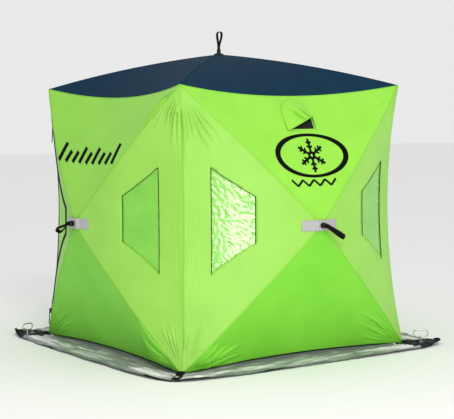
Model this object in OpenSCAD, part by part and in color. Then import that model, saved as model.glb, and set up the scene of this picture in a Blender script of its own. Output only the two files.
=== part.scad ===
// Two-person pop-up ice fishing shelter. A fabric hut is stretched over five
// sprung hubs, one in each wall and one in the roof. Four bowed rods run from
// each hub to the corners and push it outwards. Millimetres, +Z up, with the
// origin on the ground under the roof hub. The front faces -Y.

/* [Shelter] */
// Width between the wall corners at the ground
base_w = 1500; // [1250:10:1850]
// Width between the wall corners at the eave
top_w = 1460; // [1210:10:1810]
// Height of the eave corners
eave_h = 1475; // [1220:5:1800]
// Rise of the roof hub above the eave corners
roof_rise = 190; // [150:5:240]
// How far each wall hub is pushed out past the foot of its wall
hub_out = 205; // [165:5:250]

/* [Panels] */
// Thickness of the wall and roof fabric
panel_t = 2; // [1.6:0.1:3]
// Outward bow of the fabric along each rod
seam_bow = 22; // [16:1:28]
// Inward bow of the upright corner edges, the same both ways
edge_in = 53; // [40:1:65]
// Inward bow of the eave edges
eave_in = 60; // [45:1:75]
// Sag of the eave edges
eave_drop = 60; // [45:1:75]
// Inward bow of the hem
hem_in = 20; // [10:1:30]
// Rise of the hem at the middle of a wall
hem_rise = 25; // [15:1:35]

/* [Windows] */
// Height of a window on its long side, next to the corner
window_long = 547; // [440:1:660]
// Height of a window on its short side, next to the hub
window_short = 241; // [195:1:290]
// Distance from the wall's middle to the long side
window_far = 563; // [500:1:600]
// Distance from the wall's middle to the short side
window_near = 353; // [290:1:400]
// Height of the windows' centre above that of the hubs
window_lift = 40; // [0:1:60]

/* [Door] */
// Margin of fabric between the door's zip and the seams round it
door_edge = 60; // [45:1:75]
// Distance from the wall's middle to the zip's inner end
door_near = 160; // [130:1:200]

/* [Vents] */
// Width of a vent hood
vent_w = 190; // [150:1:230]
// Height of a vent hood
vent_h = 165; // [130:1:180]
// How far a hood is propped out from the wall
vent_out = 62; // [45:1:75]
// Width of the vent hole behind the hood
vent_hole_w = 130; // [100:1:160]
// Height of the vent hole behind the hood
vent_hole_h = 110; // [90:1:130]
// Gap between a hood's upper end and the eave edge
vent_below = 16; // [10:1:30]

/* [Frame] */
// Diameter of the fibreglass rods
rod_d = 9.5; // [8:0.5:11]
// Diameter of the hub bodies inside the fabric
hub_d = 70; // [60:1:84]
// Thickness of the hub bodies
hub_t = 22; // [18:1:26]
// Diameter of the hub caps outside the fabric
cap_d = 56; // [48:1:64]
// Thickness of the hub caps
cap_t = 8; // [6:0.5:12]
// Length of the rod sockets, from the hub's axis
socket_len = 62; // [52:1:74]
// Diameter of the joint that holds the rods at a corner
joint_d = 30; // [27:1:34]

/* [Skirt] */
// Thickness of the snow skirt
skirt_t = 2; // [1.6:0.1:3]
// How far the skirt reaches beyond the wall corners' line
skirt_w = 207; // [180:1:250]
// How far the skirt's outer edge is drawn in at the corners
skirt_draw = 82; // [60:1:110]
// How much further it reaches at the two anchored corners
ear_out = 25; // [0:1:40]
// Width of the strip that slopes from the hem to the ground
skirt_slope = 30; // [20:1:40]

/* [Straps and anchors] */
// Width of the webbing
web_w = 25; // [20:1:30]
// Thickness of the webbing
web_t = 2.5; // [2:0.1:3.5]
// Length of the roof's pull loop
roof_loop_len = 125; // [105:1:150]
// Length of the walls' pull loops
wall_loop_len = 160; // [135:1:190]
// Length of the pinched stem at the root of a loop
loop_stem = 30; // [24:1:36]
// Width across a pull loop's opening
loop_w = 34; // [28:1:42]
// How far the wall loops hang below the level
loop_tilt = 26; // [0:1:40]
// Length of the reflective patches behind the wall hubs
patch_w = 230; // [185:1:270]
// Height of the reflective patches
patch_h = 50; // [40:1:52]
// Distance from a corner to the near end of its strap
tab_start = 60; // [50:1:70]
// Distance from a corner to the far end of its strap
tab_end = 150; // [130:1:158]
// Width of the corner straps
tab_w = 44; // [38:1:52]
// Diameter of the anchors' wire
anchor_d = 7; // [6:0.5:8]
// Width of an anchor's handle
anchor_w = 90; // [75:1:108]
// Height of an anchor's handle
anchor_h = 44; // [36:1:52]
// Height of the handle above the ground
anchor_up = 44; // [38:1:55]
// Distances from the right corner to its anchor, sideways and forwards
right_anchor = [52, 95]; // [40:1:110]
// Distances from the left corner to its anchor, sideways and forwards
left_anchor = [155, 30]; // [20:1:170]

/* [Hidden] */

$fn = 48;
// The walls in the order of their quarter turns
FRONT = 0;
RIGHT = 1;
BACK = 2;
LEFT = 3;
// The panels of a wall, clockwise as seen from outside
UPPER = "upper";
LOWER = "lower";

green = "#8EDC50";
shade_green = "#6FBE3C";
navy = "#1E3750";
black = "#1A1A1C";
skirt_grey = "#70757A";
clear_film = "#C8D8C0";
silver = "#C9CDD0";
rod_grey = "#30343A";

// Gap between pieces that lie against each other
touch = 0.3;
// The same where a piece lies on a panel's facets
touch_cloth = 0.8;
// Clearance round a rod in its socket, where the rod bends a little
rod_fit = 0.6;
// The hem stands on the skirt
hem_z = skirt_t;
hub_z = eave_h / 2;
hub_w = base_w / 2 + hub_out;
peak_h = eave_h + roof_rise;
hub_hole = 22;
// Where the fabric starts, as a share of the way from hub to corner
s_hub = hub_hole / (norm([top_w / 2, eave_h / 2]));
rows = 6;
cols = 8;
hole_rings = 3;

function lerp(a, b, f) = a + (b - a) * f;
function unit(v) = v / norm(v);
function flat(rows_) = [for (r = rows_) for (p = r) p];

// ---- Fabric surfaces ----

// A corner of the front wall, with the fabric's inner skin at an inset
function corner(side, top, inset = 0) =
    let (half = (top ? top_w : base_w) / 2 - inset)
    [side * half, -half, top ? eave_h - inset : hem_z];

function wall_hub(inset = 0) = [0, -hub_w + inset, hub_z];
function roof_hub_at(inset = 0) = [0, 0, peak_h - inset];

// A point on the seam over a rod, which bows towards the hub's outer side
function seam_point(hub, end, out, s) =
    let (run = unit(end - hub), up = unit(out - run * (out * run)))
    lerp(hub, end, s) + up * seam_bow * 4 * s * (1 - s);

// A panel is [hub, first corner, second corner, outward axis, sag of its edge]
function side_panel(side, inset = 0) = [
    wall_hub(inset), corner(side, side > 0, inset), corner(side, side < 0, inset),
    [0, -1, 0], [-side * edge_in, edge_in, 0]
];
function upper_panel(inset = 0) = [
    wall_hub(inset), corner(-1, true, inset), corner(1, true, inset),
    [0, -1, 0], [0, eave_in, -eave_drop]
];
function lower_panel(inset = 0) = [
    wall_hub(inset), corner(1, false, inset), corner(-1, false, inset),
    [0, -1, 0], [0, hem_in, hem_rise]
];
function roof_panel(inset = 0) = [
    roof_hub_at(inset), corner(1, true, inset), corner(-1, true, inset),
    [0, 0, 1], [0, eave_in, -eave_drop]
];

// A point of a panel: st[0] runs from hub to edge, st[1] from seam to seam
function on_panel(panel, st) =
    let (s = st[0], t = st[1])
    lerp(seam_point(panel[0], panel[1], panel[3], s), seam_point(panel[0], panel[2], panel[3], s), t)
        + panel[4] * 4 * t * (1 - t) * s * s;

// The share of the way from hub to edge at a distance from the wall's middle
function s_at(x) =
    let (half = (top_w + base_w) / 4)
    (half - sqrt(half * half - 4 * edge_in * x)) / (2 * edge_in);

// The share of the way up a side panel at a height
function t_at(s, z) = ((z - hub_z * (1 - s)) / s - hem_z) / (eave_h - hem_z);

// A loop of stations round a panel, or round a hole given by its four corners
function loop_of(c) = concat(
    [for (i = [0:rows - 1]) lerp(c[0], c[1], i / rows)],
    [for (i = [0:cols - 1]) lerp(c[1], c[2], i / cols)],
    [for (i = [0:rows - 1]) lerp(c[2], c[3], i / rows)],
    [c[3]]
);
whole = [[s_hub, 0], [1, 0], [1, 1], [s_hub, 1]];

// Mirrors a hole's corners for the panel on the other side
function flipped(c) = [for (i = [0:3]) [c[3 - i][0], 1 - c[3 - i][1]]];

window_z = hub_z + window_lift;
s_far = s_at(window_far);
s_near = s_at(window_near);
window_hole = [
    [s_near, t_at(s_near, window_z - window_short / 2)],
    [s_far, t_at(s_far, window_z - window_long / 2)],
    [s_far, t_at(s_far, window_z + window_long / 2)],
    [s_near, t_at(s_near, window_z + window_short / 2)]
];

// The door's zip keeps a margin from the seams and from the corner edge
s_door_out = 1 - door_edge / ((top_w + base_w) / 4 - 2 * edge_in);
s_door_in = s_at(door_near);
function door_margin(s) = door_edge * sqrt(2) / (eave_h * s);
door_hole = [
    [s_door_in, 0.5 - (0.5 - door_margin(s_door_in)) * 0.9],
    [s_door_out, door_margin(s_door_out)],
    [s_door_out, 1 - door_margin(s_door_out)],
    [s_door_in, 0.5 + (0.5 - door_margin(s_door_in)) * 0.9]
];

// The vent lies under the eave at the middle of the upper panel
function s_up(z) =
    let (rise = eave_h - hub_z)
    (rise - sqrt(rise * rise - 4 * eave_drop * (z - hub_z))) / (2 * eave_drop);
vent_top = eave_h - eave_drop - vent_below;
vent_foot = vent_top - vent_h;
vent_mid = vent_foot + vent_h / 2;
function vent_t(s) = vent_hole_w / 2 / (top_w * s);
s_vent_low = s_up(vent_mid - vent_hole_h / 2);
s_vent_high = s_up(vent_mid + vent_hole_h / 2);
vent_hole = [
    [s_vent_low, 0.5 - vent_t(s_vent_low)],
    [s_vent_high, 0.5 - vent_t(s_vent_high)],
    [s_vent_high, 0.5 + vent_t(s_vent_high)],
    [s_vent_low, 0.5 + vent_t(s_vent_low)]
];

// ---- Thin solids made of two skins ----

// Two skins of loops, and a wall along the first loop and the last one.
// A last loop of equal points closes the middle instead.
module ring_shell(outer, inner) {
    loops = len(outer);
    n = len(outer[0]);
    back_start = loops * n;
    function id(skin, k, j) = skin * back_start + k * n + j % n;
    quads = concat(
        [for (k = [0:loops - 2], j = [0:n - 1]) [id(0, k, j), id(0, k, j + 1), id(0, k + 1, j + 1), id(0, k + 1, j)]],
        [for (k = [0:loops - 2], j = [0:n - 1]) [id(1, k, j), id(1, k + 1, j), id(1, k + 1, j + 1), id(1, k, j + 1)]],
        [for (j = [0:n - 1]) [id(0, 0, j), id(1, 0, j), id(1, 0, j + 1), id(0, 0, j + 1)]],
        [for (j = [0:n - 1]) [id(0, loops - 1, j), id(0, loops - 1, j + 1), id(1, loops - 1, j + 1), id(1, loops - 1, j)]]
    );
    triangles = [for (q = quads) each [[q[0], q[1], q[2]], [q[0], q[2], q[3]]]];
    polyhedron(flat(concat(outer, inner)), triangles);
}

// Two skins of loops that close on one point each
module disc_shell(outer, inner, outer_mid, inner_mid) {
    loops = len(outer);
    n = len(outer[0]);
    back_start = loops * n;
    mids = 2 * back_start;
    last = loops - 1;
    function id(skin, k, j) = skin * back_start + k * n + j % n;
    quads = concat(
        [for (k = [0:1:loops - 2], j = [0:n - 1]) [id(0, k, j), id(0, k, j + 1), id(0, k + 1, j + 1), id(0, k + 1, j)]],
        [for (k = [0:1:loops - 2], j = [0:n - 1]) [id(1, k, j), id(1, k + 1, j), id(1, k + 1, j + 1), id(1, k, j + 1)]],
        [for (j = [0:n - 1]) [id(0, 0, j), id(1, 0, j), id(1, 0, j + 1), id(0, 0, j + 1)]]
    );
    triangles = concat(
        [for (q = quads) each [[q[0], q[1], q[2]], [q[0], q[2], q[3]]]],
        [for (j = [0:n - 1]) [id(0, last, j), id(0, last, j + 1), mids]],
        [for (j = [0:n - 1]) [id(1, last, j + 1), id(1, last, j), mids + 1]]
    );
    polyhedron(concat(flat(concat(outer, inner)), [outer_mid, inner_mid]), triangles);
}

// Two skins of rows and columns, and a wall all round
module grid_shell(outer, inner) {
    n = len(outer);
    m = len(outer[0]);
    function id(skin, i, j) = skin * n * m + i * m + j;
    quads = concat(
        [for (i = [0:n - 2], j = [0:m - 2]) [id(0, i, j), id(0, i + 1, j), id(0, i + 1, j + 1), id(0, i, j + 1)]],
        [for (i = [0:n - 2], j = [0:m - 2]) [id(1, i, j), id(1, i, j + 1), id(1, i + 1, j + 1), id(1, i + 1, j)]],
        [for (i = [0:n - 2]) [id(0, i, 0), id(1, i, 0), id(1, i + 1, 0), id(0, i + 1, 0)]],
        [for (i = [0:n - 2]) [id(0, i, m - 1), id(0, i + 1, m - 1), id(1, i + 1, m - 1), id(1, i, m - 1)]],
        [for (j = [0:m - 2]) [id(0, 0, j), id(0, 0, j + 1), id(1, 0, j + 1), id(1, 0, j)]],
        [for (j = [0:m - 2]) [id(0, n - 1, j), id(1, n - 1, j), id(1, n - 1, j + 1), id(0, n - 1, j + 1)]]
    );
    triangles = [for (q = quads) each [[q[0], q[1], q[2]], [q[0], q[2], q[3]]]];
    polyhedron(flat(concat(outer, inner)), triangles);
}

function panel_grid(panel) =
    [for (i = [0:rows]) [for (j = [0:cols]) on_panel(panel, [lerp(s_hub, 1, i / rows), j / cols])]];

// Loops that shrink from the panel's border to the border of its hole
function panel_rings(panel, hole) =
    let (a = loop_of(whole), b = loop_of(hole))
    [for (k = [0:hole_rings]) [for (j = [0:len(a) - 1]) on_panel(panel, lerp(a[j], b[j], k / hole_rings))]];

// Loops that shrink from a hole's border to its middle, and that middle
function hole_middle(hole) = (hole[0] + hole[1] + hole[2] + hole[3]) / 4;
function hole_loops(panel, hole) =
    let (a = loop_of(hole), mid = hole_middle(hole))
    [for (k = [0, 1]) [for (p = a) on_panel(panel, lerp(p, mid, k / 2))]];

module plain_panel(outer, inner) {
    grid_shell(panel_grid(outer), panel_grid(inner));
}

module holed_panel(outer, inner, hole) {
    ring_shell(panel_rings(outer, hole), panel_rings(inner, hole));
}

module filled_hole(outer, inner, hole) {
    mid = hole_middle(hole);
    disc_shell(hole_loops(outer, hole), hole_loops(inner, hole), on_panel(outer, mid), on_panel(inner, mid));
}

// ---- Walls and roof ----

module on_wall(wall) {
    rotate([0, 0, 90 * wall]) children();
}

module upper_part(wall, vented) {
    color(green) on_wall(wall)
        if (vented) holed_panel(upper_panel(), upper_panel(panel_t), vent_hole);
        else plain_panel(upper_panel(), upper_panel(panel_t));
}

module lower_part(wall) {
    color(shade_green) on_wall(wall) plain_panel(lower_panel(), lower_panel(panel_t));
}

// The hole's first corner comes first on the panel's first seam
function side_hole(side, hole) = side < 0 ? hole : flipped(hole);

module side_part(wall, side, hole) {
    color(green) on_wall(wall)
        holed_panel(side_panel(side), side_panel(side, panel_t), side_hole(side, hole));
}

module window_pane(side) {
    filled_hole(side_panel(side), side_panel(side, panel_t), side_hole(side, window_hole));
}

module wall_windows(wall, sides) {
    color(clear_film) on_wall(wall)
        for (side = sides) window_pane(side);
}

module door_flap() {
    color(green) on_wall(LEFT)
        filled_hole(side_panel(-1), side_panel(-1, panel_t), side_hole(-1, door_hole));
}

module roof_part(wall) {
    color(navy) on_wall(wall) plain_panel(roof_panel(), roof_panel(panel_t));
}

// ---- Rods, hubs and corner joints ----

hub_depth = 19;
// Distance of a rod's centre line inside the seam at mid length
rod_seat = panel_t * 1.25 + 2 * touch_cloth + rod_d / 2 * 1.15;
// Distances of a corner joint's centre from the fabric's corner
joint_in_top = joint_d / 2 + 6;
joint_in_foot = joint_d / 2 + 12;
joint_up = hub_z - (base_w / 2 - joint_in_foot) * (hub_z - hem_z) / (base_w / 2);
// The rods stop short of the joint's centre, in sockets of their own
rod_tip = rod_d / 2 + 4.5;
rod_root = rod_d / 2 + 7;

// Centre of the joint in a corner of the front wall
function joint_at(side, top) =
    let (in = top ? joint_in_top : joint_in_foot, c = corner(side, top))
    [c[0] - side * in, c[1] + in, top ? c[2] - in : joint_up];

// A rod lies in the plane of its hub's axis. Its path is
// [start, end, bow] in that plane: distance from the axis, and height.
function rod_path(start, end, seam_end) =
    let (
        seam_run = unit(seam_end),
        seam_up = [-seam_run[1], seam_run[0]],
        seam_mid = seam_end / 2 + seam_up * seam_bow,
        run = unit(end - start),
        up = [-run[1], run[0]]
    )
    [start, end, (seam_mid - seam_up * rod_seat - (start + end) / 2) * up];

function wall_rod(side, top) =
    let (j = joint_at(side, top), c = corner(side, top))
    rod_path(
        [0, -hub_depth],
        [norm([j[0], j[2] - hub_z]), -j[1] - hub_w],
        [norm([c[0], c[2] - hub_z]), -c[1] - hub_w]
    );
function wall_rod_turn(side, top) =
    let (j = joint_at(side, top))
    atan2(j[2] - hub_z, j[0]);

roof_rod = let (j = joint_at(1, true), c = corner(1, true)) rod_path(
    [0, -hub_depth],
    [j[0] * sqrt(2), j[2] - peak_h],
    [c[0] * sqrt(2), c[2] - peak_h]
);

function chord(path) = norm(path[1] - path[0]);
function radius(path) = (pow(chord(path) / 2, 2) + pow(path[2], 2)) / (2 * path[2]);
function half_turn(path) = asin(chord(path) / 2 / radius(path));
function lean(path) = atan2(path[1][1] - path[0][1], path[1][0] - path[0][0]);
function arc_turn(path, length) = length / radius(path) * 180 / PI;

// A rod along its path, from its root in the hub to its tip in the joint
module bowed_rod(path) {
    r = radius(path);
    half = half_turn(path);
    root = arc_turn(path, rod_root);
    tip = arc_turn(path, rod_tip);
    mid = (path[0] + path[1]) / 2;
    up = [-sin(lean(path)), cos(lean(path))];
    centre = mid - up * (r - path[2]);
    translate([centre[0], 0, centre[1]]) rotate([90, 0, 0])
        rotate([0, 0, 90 + lean(path) - half + tip])
            rotate_extrude(angle = 2 * half - root - tip)
                translate([r, 0]) circle(d = rod_d);
}

// A straight cylinder that leaves the rod's start along the rod
module along_root(path, d, from, to) {
    translate([path[0][0], 0, path[0][1]])
        rotate([0, 90 - lean(path) - half_turn(path), 0])
            translate([0, 0, from]) cylinder(d = d, h = to - from);
}

// A straight cylinder that comes back from the rod's end along the rod
module along_tip(path, d, from, to) {
    translate([path[1][0], 0, path[1][1]])
        rotate([0, -90 - lean(path) + half_turn(path), 0])
            translate([0, 0, from]) cylinder(d = d, h = to - from);
}

// Puts a hub's own frame, with its axis outwards, on the front wall
module on_wall_hub() {
    translate([0, -hub_w, hub_z]) rotate([90, 0, 0]) children();
}

module for_wall_rods() {
    for (side = [-1, 1], top = [true, false]) {
        $path = wall_rod(side, top);
        rotate([0, 0, wall_rod_turn(side, top)]) children();
    }
}

module for_roof_rods() {
    for (k = [0:3]) {
        $path = roof_rod;
        rotate([0, 0, 45 + 90 * k]) children();
    }
}

module wall_rods(wall) {
    color(rod_grey) on_wall(wall) on_wall_hub() for_wall_rods() bowed_rod($path);
}

module roof_rods() {
    color(rod_grey) translate([0, 0, peak_h]) for_roof_rods() bowed_rod($path);
}

socket_d = rod_d + 8;
neck_d = 26;
// The cap's underside, just clear of the fabric's rim
cap_low = -hub_hole * 0.1;

module hub_solid() {
    translate([0, 0, cap_low]) cylinder(d = cap_d, h = cap_t * 0.6);
    translate([0, 0, cap_low + cap_t * 0.6]) cylinder(d1 = cap_d, d2 = cap_d * 0.6, h = cap_t * 0.4);
    translate([0, 0, -hub_depth]) cylinder(d = neck_d, h = hub_depth + cap_low + 1);
    translate([0, 0, -hub_depth - hub_t * 0.55]) cylinder(d = hub_d, h = hub_t * 0.8);
}

module wall_hub_part(wall) {
    color(black) on_wall(wall) on_wall_hub() difference() {
        union() {
            hub_solid();
            for_wall_rods() along_root($path, socket_d, neck_d * 0.3, socket_len);
        }
        for_wall_rods() along_root($path, rod_d + 2 * rod_fit, rod_root - touch, socket_len + 1);
    }
}

module roof_hub_part() {
    color(black) translate([0, 0, peak_h]) difference() {
        union() {
            hub_solid();
            for_roof_rods() along_root($path, socket_d, neck_d * 0.3, socket_len);
        }
        for_roof_rods() along_root($path, rod_d + 2 * rod_fit, rod_root - touch, socket_len + 1);
    }
}

// The joint in the front wall's right corner, bored for the rods that end there
module corner_joint(top) {
    difference() {
        translate(joint_at(1, top)) sphere(d = joint_d);
        on_wall_hub() rotate([0, 0, wall_rod_turn(1, top)])
            along_tip(wall_rod(1, top), rod_d + 2 * rod_fit, rod_tip - touch, joint_d);
        on_wall(RIGHT) on_wall_hub() rotate([0, 0, wall_rod_turn(-1, top)])
            along_tip(wall_rod(-1, top), rod_d + 2 * rod_fit, rod_tip - touch, joint_d);
        if (top) translate([0, 0, peak_h]) rotate([0, 0, -45])
            along_tip(roof_rod, rod_d + 2 * rod_fit, rod_tip - touch, joint_d);
    }
}

module corner_joints() {
    color(black)
        for (k = [0:3], top = [true, false]) on_wall(k) corner_joint(top);
}

// ---- Skirt ----

skirt_steps = 2 * cols;
skirt_out = base_w / 2 + skirt_w;
skirt_corner = skirt_out - skirt_draw;

// The hem's sag at v, from -1 to 1, along the straight stretches of its panel
function hem_sag(v) =
    let (k = (v + 1) / 2 * cols, a = floor(k), t0 = a / cols, t1 = (a + 1) / cols)
    4 * lerp(t0 * (1 - t0), t1 * (1 - t1), k - a);

// The anchored corners are at the right end of the front and back walls
function corner_reach(wall, v) =
    skirt_corner + (v * (wall % 2 == 0 ? 1 : -1) > 0 ? ear_out : 0);

// Points across the skirt's upper face at v, from -1 to 1 along the wall
function skirt_line(wall, v) =
    let (
        sag = hem_sag(v),
        reach = corner_reach(wall, v),
        hem = base_w / 2 - hem_in * sag,
        z = hem_z + hem_rise * sag,
        edge = skirt_out - (skirt_out - reach) * pow(abs(v), 6),
        slope_v = base_w / 2 + skirt_slope
    )
    [
        [(base_w / 2 - panel_t) * v, -(hem - panel_t), z],
        [base_w / 2 * v, -hem, z],
        [slope_v * v, -(hem + skirt_slope), skirt_t],
        [reach * v, -edge, skirt_t]
    ];

module skirt(wall) {
    upper = [for (i = [0:skirt_steps]) skirt_line(wall, 1 - 2 * i / skirt_steps)];
    lower = [for (row = upper) [for (p = row) p - [0, 0, skirt_t]]];
    color(skirt_grey) on_wall(wall) grid_shell(upper, lower);
}

// ---- Vent hoods ----

// The wall's outer skin at a point under the eave, stood off by a distance
function wall_skin(x, z, off) =
    let (s = s_up(z), p = on_panel(upper_panel(), [s, 0.5 + x / (top_w * s)]))
    p + [0, -off, 0];

hood_steps = 12;
hood_rows = 4;
// A hood's point: a from the sewn edge to the open rim, b from side to side
function hood_point(a, b, inset) =
    let (
        turn = 180 * lerp(0.06, 0.94, b),
        x = -(vent_w / 2 - inset) * cos(turn),
        z = lerp(vent_foot + (vent_h - inset) * pow(sin(turn), 0.7), vent_foot, a),
        out = touch_cloth + (vent_out - inset) * sin(turn) * sin(90 * a)
    )
    wall_skin(x, z, out);

module vent_hood() {
    outer = [for (i = [0:hood_rows]) [for (j = [0:hood_steps]) hood_point(i / hood_rows, 1 - j / hood_steps, 0)]];
    inner = [for (i = [0:hood_rows]) [for (j = [0:hood_steps]) hood_point(i / hood_rows, 1 - j / hood_steps, 2)]];
    grid_shell(outer, inner);
}

module vent_hoods() {
    color(green)
        for (wall = [FRONT, BACK]) on_wall(wall) vent_hood();
}

// ---- Webbing ----

// A loop of webbing on a pinched stem that stands up from the origin. The
// loop itself leans over from the top of the stem.
module pull_loop(length, leaning) {
    rotate([90, 0, 0]) translate([0, 0, -web_w / 2]) linear_extrude(web_w)
        translate([-web_t, 0]) square([2 * web_t, loop_stem + web_t]);
    translate([0, 0, loop_stem]) rotate([0, leaning, 0])
        rotate([90, 0, 0]) translate([0, 0, -web_w / 2]) linear_extrude(web_w)
            difference() {
                loop_outline(length - loop_stem, 0);
                loop_outline(length - loop_stem, web_t);
            }
}

// A teardrop with its point at the origin
module loop_outline(length, inset) {
    r = loop_w / 2;
    translate([0, length - r]) circle(r = r - inset);
    polygon([
        [-r + inset, length - r], [r - inset, length - r],
        [web_t * 1.4 - inset, inset * 4], [-web_t * 1.4 + inset, inset * 4]
    ]);
}

cap_top = cap_low + cap_t;
// How far the wall loops lean over from their stems
wall_loop_lean = 84;

module pull_loops() {
    color(black) {
        translate([0, 0, peak_h + cap_top]) pull_loop(roof_loop_len, 0);
        for (k = [0:3]) on_wall(k) on_wall_hub()
            translate([0, 0, cap_top]) rotate([0, 0, k == LEFT ? 180 + loop_tilt : -loop_tilt])
                pull_loop(wall_loop_len, wall_loop_lean);
    }
}

// Patches on both sides of a wall hub, from its cap outwards
module patch(side) {
    rings = 3;
    x0 = cap_d / 2 + 3;
    function at(x, z, off) =
        let (s = s_at(x), t = t_at(s, z), p = on_panel(side_panel(side), [s, side < 0 ? t : 1 - t]))
        p + [0, -off, 0];
    outer = [for (i = [0:rings]) [for (z = [0, 1])
        at(lerp(x0, patch_w / 2, i / rings), hub_z + patch_h / 2 * (side < 0 ? 2 * z - 1 : 1 - 2 * z), touch_cloth + 1.5)]];
    inner = [for (i = [0:rings]) [for (z = [0, 1])
        at(lerp(x0, patch_w / 2, i / rings), hub_z + patch_h / 2 * (side < 0 ? 2 * z - 1 : 1 - 2 * z), touch_cloth)]];
    grid_shell(outer, inner);
}

module reflective_patches() {
    color(silver)
        for (k = [0:3], side = [-1, 1]) on_wall(k) patch(side);
}

// Straps that run out over the skirt from the corners
module corner_straps() {
    color(black) for (k = [0:3]) on_wall(k)
        translate([base_w / 2, -base_w / 2, skirt_t + touch]) rotate([0, 0, -45])
            translate([tab_start, -tab_w / 2, 0]) cube([tab_end - tab_start, tab_w, web_t]);
}

// ---- Anchors ----

// A wire handle on a shaft, down to where it enters the ice
module ice_anchor() {
    r = (anchor_h - anchor_d) / 2;
    run = anchor_w - anchor_d - 2 * r;
    cylinder(d = anchor_d, h = anchor_up + anchor_d / 2);
    translate([0, 0, anchor_up + anchor_d / 2 + r]) rotate([90, 0, 0]) {
        for (side = [-1, 1]) {
            translate([side * run / 2, 0, 0]) rotate([0, 0, side > 0 ? -90 : 90])
                rotate_extrude(angle = 180) translate([r, 0]) circle(d = anchor_d);
            translate([-run / 2, side * r, 0]) rotate([0, 90, 0]) cylinder(d = anchor_d, h = run);
        }
    }
}

// The anchors left in place stand on the skirt at the front wall's right
// corner and the back wall's right corner, each with its handle turned
module ice_anchors() {
    half = base_w / 2;
    color(silver) {
        translate([half + right_anchor[0], -half - right_anchor[1], skirt_t]) rotate([0, 0, -34]) ice_anchor();
        translate([-half - left_anchor[0], half - left_anchor[1], skirt_t]) rotate([0, 0, 20]) ice_anchor();
    }
}

// ---- Pieces ----

upper_part(FRONT, true);  // front_upper_panel
side_part(FRONT, 1, window_hole);  // front_right_panel
lower_part(FRONT);  // front_lower_panel
side_part(FRONT, -1, window_hole);  // front_left_panel
upper_part(RIGHT, false);  // right_upper_panel
side_part(RIGHT, 1, window_hole);  // right_right_panel
lower_part(RIGHT);  // right_lower_panel
side_part(RIGHT, -1, window_hole);  // right_left_panel
upper_part(BACK, true);  // back_upper_panel
side_part(BACK, 1, window_hole);  // back_right_panel
lower_part(BACK);  // back_lower_panel
side_part(BACK, -1, window_hole);  // back_left_panel
upper_part(LEFT, false);  // left_upper_panel
side_part(LEFT, 1, window_hole);  // left_right_panel
lower_part(LEFT);  // left_lower_panel
side_part(LEFT, -1, door_hole);  // left_left_panel
roof_part(FRONT);  // roof_front_panel
roof_part(RIGHT);  // roof_right_panel
roof_part(BACK);  // roof_back_panel
roof_part(LEFT);  // roof_left_panel
wall_windows(FRONT, [-1, 1]);  // front_windows
wall_windows(RIGHT, [-1, 1]);  // right_windows
wall_windows(BACK, [-1, 1]);  // back_windows
wall_windows(LEFT, [1]);  // left_window
door_flap();
wall_hub_part(FRONT);  // front_hub
wall_hub_part(RIGHT);  // right_hub
wall_hub_part(BACK);  // back_hub
wall_hub_part(LEFT);  // left_hub
roof_hub_part();  // roof_hub
wall_rods(FRONT);  // front_rods
wall_rods(RIGHT);  // right_rods
wall_rods(BACK);  // back_rods
wall_rods(LEFT);  // left_rods
roof_rods();
skirt(FRONT);  // front_skirt
skirt(RIGHT);  // right_skirt
skirt(BACK);  // back_skirt
skirt(LEFT);  // left_skirt
corner_joints();
vent_hoods();
pull_loops();
reflective_patches();
corner_straps();
ice_anchors();
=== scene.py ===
"""Dresses the pop-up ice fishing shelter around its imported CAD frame."""

import logging
from dataclasses import dataclass, field, replace
from enum import Enum
from functools import cached_property
from math import atan2, cos, exp, pi, radians, sin, sqrt
from typing import Callable, Sequence

import bmesh
import bpy
from mathutils import Matrix, Vector, noise


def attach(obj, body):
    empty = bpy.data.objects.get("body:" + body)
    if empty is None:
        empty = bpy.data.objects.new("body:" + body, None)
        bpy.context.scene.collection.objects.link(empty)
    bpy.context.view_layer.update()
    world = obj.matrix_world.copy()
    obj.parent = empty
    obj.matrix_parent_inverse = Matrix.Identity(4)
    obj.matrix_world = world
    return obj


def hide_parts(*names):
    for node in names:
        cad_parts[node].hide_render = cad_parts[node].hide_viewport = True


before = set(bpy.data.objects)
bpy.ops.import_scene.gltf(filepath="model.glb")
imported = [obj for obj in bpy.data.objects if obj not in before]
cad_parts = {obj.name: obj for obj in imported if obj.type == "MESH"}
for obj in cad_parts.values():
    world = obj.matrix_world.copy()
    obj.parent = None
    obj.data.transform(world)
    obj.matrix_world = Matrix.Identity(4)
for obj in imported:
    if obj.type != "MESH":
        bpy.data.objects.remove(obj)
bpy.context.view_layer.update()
LOG = logging.getLogger("shelter")
BODY = "root"


class Wall(Enum):
    """The four walls, each a quarter turn on from the one before."""

    FRONT = 0
    RIGHT = 1
    BACK = 2
    LEFT = 3

    @property
    def turn(self) -> Matrix:
        """The turn that takes the front wall's shapes to this wall."""
        return Matrix.Rotation(radians(90 * self.value), 4, "Z")

    @property
    def label(self) -> str:
        """The word for it in the names of pieces."""
        return self.name.lower()

    @property
    def ear(self) -> int:
        """The end, -1 or 1, where its skirt has an ear."""
        return 1 if self.value % 2 == 0 else -1


class Slot(Enum):
    """The record's material slots."""

    WALL = "wall_fabric"
    ROOF = "roof_fabric"
    FILM = "window_film"
    HUB = "hub_plastic"
    ROD = "rod_fibreglass"
    SKIRT = "skirt_fabric"
    WEBBING = "webbing"
    TAPE = "reflective_patch"
    STEEL = "anchor_steel"


# ---- Small tools ----


def linear(code: str) -> tuple[float, float, float, float]:
    """Turns a colour to the linear values that Blender mixes.

    Args:
        code: the sRGB colour as six hex digits.

    Returns:
        Linear red, green, blue and an alpha of 1.
    """
    parts = [int(code[i : i + 2], 16) / 255 for i in (0, 2, 4)]
    return (*[c / 12.92 if c <= 0.04045 else ((c + 0.055) / 1.055) ** 2.4 for c in parts], 1.0)


def smooth(x: float) -> float:
    """Eases from 0 to 1 as x goes from 0 to 1."""
    x = min(max(x, 0.0), 1.0)
    return x * x * (3 - 2 * x)


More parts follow.
